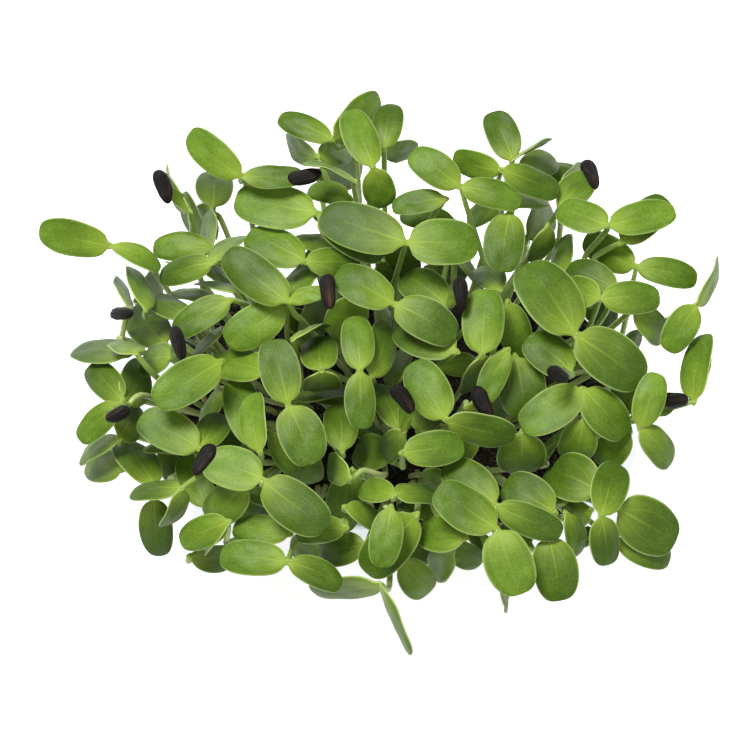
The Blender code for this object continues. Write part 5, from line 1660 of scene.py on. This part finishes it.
def leaf_material():
    """Waxy green seed leaf: paler at its root, midrib, side veins and underneath, with a painted highlight
    along its rim, painted shade just inside it, and painted shade lower down toward the floor.
    """
    leaf = new_surface("seed_leaf")
    along, across, tone, under = (leaf.value(name) for name in Shape.VALUES)
    speckle = leaf.grain(*SPECKLE_GRAIN) * SPECKLE_SHARE - SPECKLE_SHARE / 2
    patch = leaf.grain(*PATCH_GRAIN) + speckle
    green = leaf.ramp(patch * PATCH_CONTRAST + (tone * TONE_CONTRAST - SHADE_SHIFT), LEAF_GREENS)

    wide = abs(across)
    to_root = (1 - along).at_least(0)
    near_root = to_root ** VEIN_FADE
    rib = (1 - wide / (along * -RIB_NARROWING + RIB_WIDTH)).at_least(0) * near_root
    arc = (along * VEIN_TURN).sum("SINE") * VEIN_ARC
    side = (1 - abs(wide - arc) / VEIN_WIDTH).at_least(0) * near_root
    vein = rib * RIB_SHARE + side * VEIN_SHARE
    pale = (to_root ** ROOT_PALE_FADE * ROOT_SHARE + vein).at_most(PALE_MOST)
    # Painted highlight: a pale line along the rim.
    rim_highlight = ((wide - 1) / RIM_HIGHLIGHT_WIDTH + 1).at_least(0).at_most(RIM_HIGHLIGHT_MOST)
    # Painted shade: a darker band just inside the rim.
    inner_shade = (1 - abs(wide - INNER_SHADE_PLACE) / INNER_SHADE_WIDTH).at_least(0) * INNER_SHADE_SHARE
    # Painted shade: lower leaves are mixed toward a dark green, more so nearer the floor.
    height = Amount(leaf, leaf.add("ShaderNodeSeparateXYZ", {0: leaf.place()}).outputs["Z"])
    low = (height * -LOW_SHADE_PER_METRE + LOW_SHADE_AT_FLOOR).at_least(0).at_most(1)
    layers = (
        (pale, ROOT_GREEN), (rim_highlight, RIM_HIGHLIGHT_GREEN), (inner_shade, INNER_SHADE_GREEN),
        (under * UNDER_SHARE, UNDER_GREEN), (low, PAINTED_SHADE_GREEN),
    )
    for share, colour in layers:
        green = leaf.mix(share, green, colour)
    leaf.shade(Base_Color=green, Roughness=0.46, Specular_IOR_Level=0.27)
    leaf.shade(Sheen_Weight=0.06, Sheen_Roughness=0.5)

    relief = leaf.grain(*CELL_GRAIN) * CELL_RELIEF - vein * VEIN_RELIEF
    leaf.bump(relief + leaf.grain(*FOLD_GRAIN) * FOLD_RELIEF, *LEAF_BUMP)
    glow = leaf.add("ShaderNodeBsdfTranslucent", {"Color": leaf.mix(GLOW_GREEN_SHARE, green, GLOW_GREEN)})
    shaders = (Amount(leaf, node.outputs[0]) for node in (leaf.nodes["Principled BSDF"], glow))
    leaf.blend(GLOW_SHARE, *shaders)
    return leaf.owner


# A stem's colours from the soil to its joint, its streaks and its soft inside.
STEM_COLOURS = (
    (0.0, (0.5, 0.47, 0.3)),
    (0.25, (0.53, 0.57, 0.3)),
    (0.7, (0.36, 0.48, 0.13)),
    (1.0, (0.27, 0.41, 0.06)),
)
STREAK_GRAIN = (900, 3)
STREAK_STRETCH = (1, 1, 0.06)
STREAK_SHARE = 0.3
STEM_SOFTNESS = (0.0015, 0.002, 0.0008)
STEM_BUMP = (0.2, 0.0002)


def stem_material():
    """Pale juicy stem: whitish at the soil, greener toward the leaves, faintly streaked."""
    stem = new_surface("seedling_stem")
    stretched = stem.add("ShaderNodeMapping", {0: stem.place(), "Scale": STREAK_STRETCH})
    streak = stem.grain(*STREAK_GRAIN, Amount(stem, stretched.outputs[0]))
    share = stem.value("along") + (streak * STREAK_SHARE - STREAK_SHARE / 2)
    stem.shade(Base_Color=stem.ramp(share, STEM_COLOURS), Roughness=0.38)
    stem.shade(Subsurface_Weight=0.25, Subsurface_Radius=STEM_SOFTNESS, Subsurface_Scale=1)
    stem.bump(streak, *STEM_BUMP)
    return stem.owner


# A husk's colours by fibre and where it gapes, and its fibres along it, round it and from husk to husk.
HULL_COLOURS = (
    (0.3, (0.003, 0.0025, 0.0025)),
    (0.55, (0.009, 0.007, 0.006)),
    (0.66, (0.03, 0.024, 0.02)),
    (0.82, (0.13, 0.1, 0.075)),
)
GAPE_COLOUR = (0.13, 0.055, 0.025)
FIBRE_SPREAD = {"along": 2.2, "across": 30, "tone": 9}
FIBRE_GRAIN = (1.6, 5)
HULL_BUMP = (0.9, 0.0006)


def hull_material():
    """Dry black husk with fine fibres along it and a few grey-brown streaks."""
    hull = new_surface("seed_hull")
    spread = [hull.value(name) * times for name, times in FIBRE_SPREAD.items()]
    place = hull.add("ShaderNodeCombineXYZ", dict(enumerate(spread)))
    fibre = hull.grain(*FIBRE_GRAIN, Amount(hull, place.outputs[0]))
    colour = hull.mix(hull.value("under"), hull.ramp(fibre, HULL_COLOURS), GAPE_COLOUR)
    hull.shade(Base_Color=colour, Roughness=0.6, Specular_IOR_Level=0.25)
    hull.bump(fibre, *HULL_BUMP)
    return hull.owner


# Colours of the peat by grain, and its fine roots: where they wind, how fine and how dense.
PEAT_COLOURS = (
    (0.3, (0.004, 0.003, 0.002)),
    (0.55, (0.018, 0.012, 0.008)),
    (0.75, (0.055, 0.038, 0.024)),
    (0.95, (0.13, 0.095, 0.06)),
)
ROOT_THREAD_COLOUR = (0.42, 0.36, 0.25)
PEAT_GRAIN = (700, 5)
WINDING_GRAIN = (110, 2)
THREAD_WIDTH = 0.008
THREAD_GRAIN = (240, 1)
PEAT_BUMP = (0.9, 0.0012)


def soil_material():
    """Damp dark peat, with pale fine roots where it lies against the tray."""
    peat = new_surface("growing_mix_peat")
    rough = peat.grain(*PEAT_GRAIN)
    thread = (1 - abs(peat.grain(*WINDING_GRAIN) - 0.5) / THREAD_WIDTH).at_least(0)
    thread = thread * peat.grain(*THREAD_GRAIN)
    colour = peat.mix(thread, peat.ramp(rough, PEAT_COLOURS), ROOT_THREAD_COLOUR)
    peat.shade(Base_Color=colour, Roughness=0.9)
    peat.bump(rough, *PEAT_BUMP)
    return peat.owner


# The tray's plastic: its colours by haze, its clear tint, and how milky and rough it is.
HAZE_COLOURS = ((0.3, (0.78, 0.81, 0.82)), (0.7, (0.88, 0.9, 0.9)))
CLEAR_TINT = (0.96, 0.98, 0.98)
HAZE_GRAIN = (60, 3)
MILKINESS = 0.03
EDGE_MILKINESS = 0.38
EDGE_BLEND = 0.2
HAZE_ROUGHNESS = 0.1
LEAST_ROUGHNESS = 0.14
TRAY_BUMP = (0.15, 0.0006)


def tray_material():
    """Thin clear plastic, faintly milky, with a soft gloss."""
    tray = new_surface("clear_plastic")
    haze = tray.grain(*HAZE_GRAIN)
    roughness = haze * HAZE_ROUGHNESS + LEAST_ROUGHNESS
    tray.shade(Base_Color=tray.ramp(haze, HAZE_COLOURS), Roughness=roughness, Specular_IOR_Level=0.5)
    clear = tray.add("ShaderNodeBsdfTransparent", {0: CLEAR_TINT})
    facing = Amount(tray, tray.add("ShaderNodeLayerWeight", {"Blend": EDGE_BLEND}).outputs["Facing"])
    share = (facing * EDGE_MILKINESS + haze * MILKINESS).at_most(1)
    shaders = (Amount(tray, node.outputs[0]) for node in (clear, tray.nodes["Principled BSDF"]))
    tray.blend(share, *shaders)
    tray.bump(haze, *TRAY_BUMP)
    return tray.owner


# Floor, light and camera

# The floor's size and how far it lies below the tray, in metres, and its colour and own light.
FLOOR_SIZE = 40
FLOOR_DEPTH = 0.0005
FLOOR_COLOUR = (0.93, 0.93, 0.93)
FLOOR_GLOW = 0.66
WHITE = (1.0, 1.0, 1.0)

# Each light's place, size and power, the point that they aim at, and how bright the surround is.
LIGHTS = {
    "key": ((-0.35, 0.45, 1.2), 0.42, 17),
    "fill": ((0.6, -0.4, 1.1), 0.9, 3),
}
AIM = Vector((0, 0, 0.07))
WORLD_LIGHT = 0.32
BACKDROP = 1.1
SENSOR_MM = 36
PHOTO_SIZE = 750


def floor_piece():
    """A plain pale floor."""
    bpy.ops.mesh.primitive_plane_add(size=FLOOR_SIZE, location=(0, 0, -FLOOR_DEPTH))
    floor = bpy.context.object
    floor.name = "floor"
    paint = new_surface("pale_floor")
    paint.shade(Base_Color=FLOOR_COLOUR, Roughness=0.9)
    paint.shade(Emission_Color=WHITE, Emission_Strength=FLOOR_GLOW)
    floor.data.materials.append(paint.owner)


def area_light(name, place, size, power):
    """A soft square light aimed at the canopy."""
    data = bpy.data.lights.new(name, "AREA")
    data.shape = "SQUARE"
    data.size = size
    data.energy = power
    lamp = bpy.data.objects.new(name, data)
    lamp.location = place
    lamp.rotation_euler = (AIM - Vector(place)).to_track_quat("-Z", "Y").to_euler()
    bpy.context.scene.collection.objects.link(lamp)


def light_scene():
    """Soft studio light: a large key from the upper left and a bright even surround."""
    for name, light in LIGHTS.items():
        area_light(name, *light)
    bpy.context.scene.view_settings.view_transform = "Standard"
    world = bpy.data.worlds.new("studio")
    surround = Surface(world)
    seen = Amount(surround, surround.add("ShaderNodeLightPath").outputs["Is Camera Ray"])
    levels = {"Value": seen, "To Min": WORLD_LIGHT, "To Max": BACKDROP}
    strength = Amount(surround, surround.add("ShaderNodeMapRange", levels).outputs["Result"])
    surround.feed(surround.nodes["Background"], {"Color": WHITE, "Strength": strength})
    bpy.context.scene.world = world


def camera():
    """The photo's camera: high in front, its frame as wide as the pixels say at the rim."""
    data = bpy.data.cameras.new("camera")
    data.sensor_width = SENSOR_MM
    data.lens = SENSOR_MM * CAMERA_DISTANCE / (MM_PER_PIXEL_AT_RIM * PHOTO_SIZE)
    eye = bpy.data.objects.new("camera", data)
    eye.location = CAMERA_PLACE * MM
    eye.rotation_euler = (TILT, 0, 0)
    bpy.context.scene.collection.objects.link(eye)
    bpy.context.scene.camera = eye


def dress():
    """Builds every finer piece over the frame."""
    camera()
    seedlings = placed_seedlings()
    groups = planting_groups(seedlings)
    thicket = route_stems(groups, hole_places(groups))
    seedling_materials = [leaf_material(), stem_material()]
    low_piece(low_seedlings(seedlings, thicket), seedling_materials)
    for number, group in enumerate(groups):
        clump_piece(f"seedlings_{number + 1:02d}", group, seedling_materials)
    by_name = {seedling.name: seedling for seedling in seedlings}
    husk = hull_material()
    for name, (plant, side, start, end) in HULLS.items():
        hull_piece(name, by_name[plant].leaves[side], (start, end), husk)
    soil_piece(soil_material())
    tray_piece(tray_material())
    floor_piece()
    light_scene()


dress()
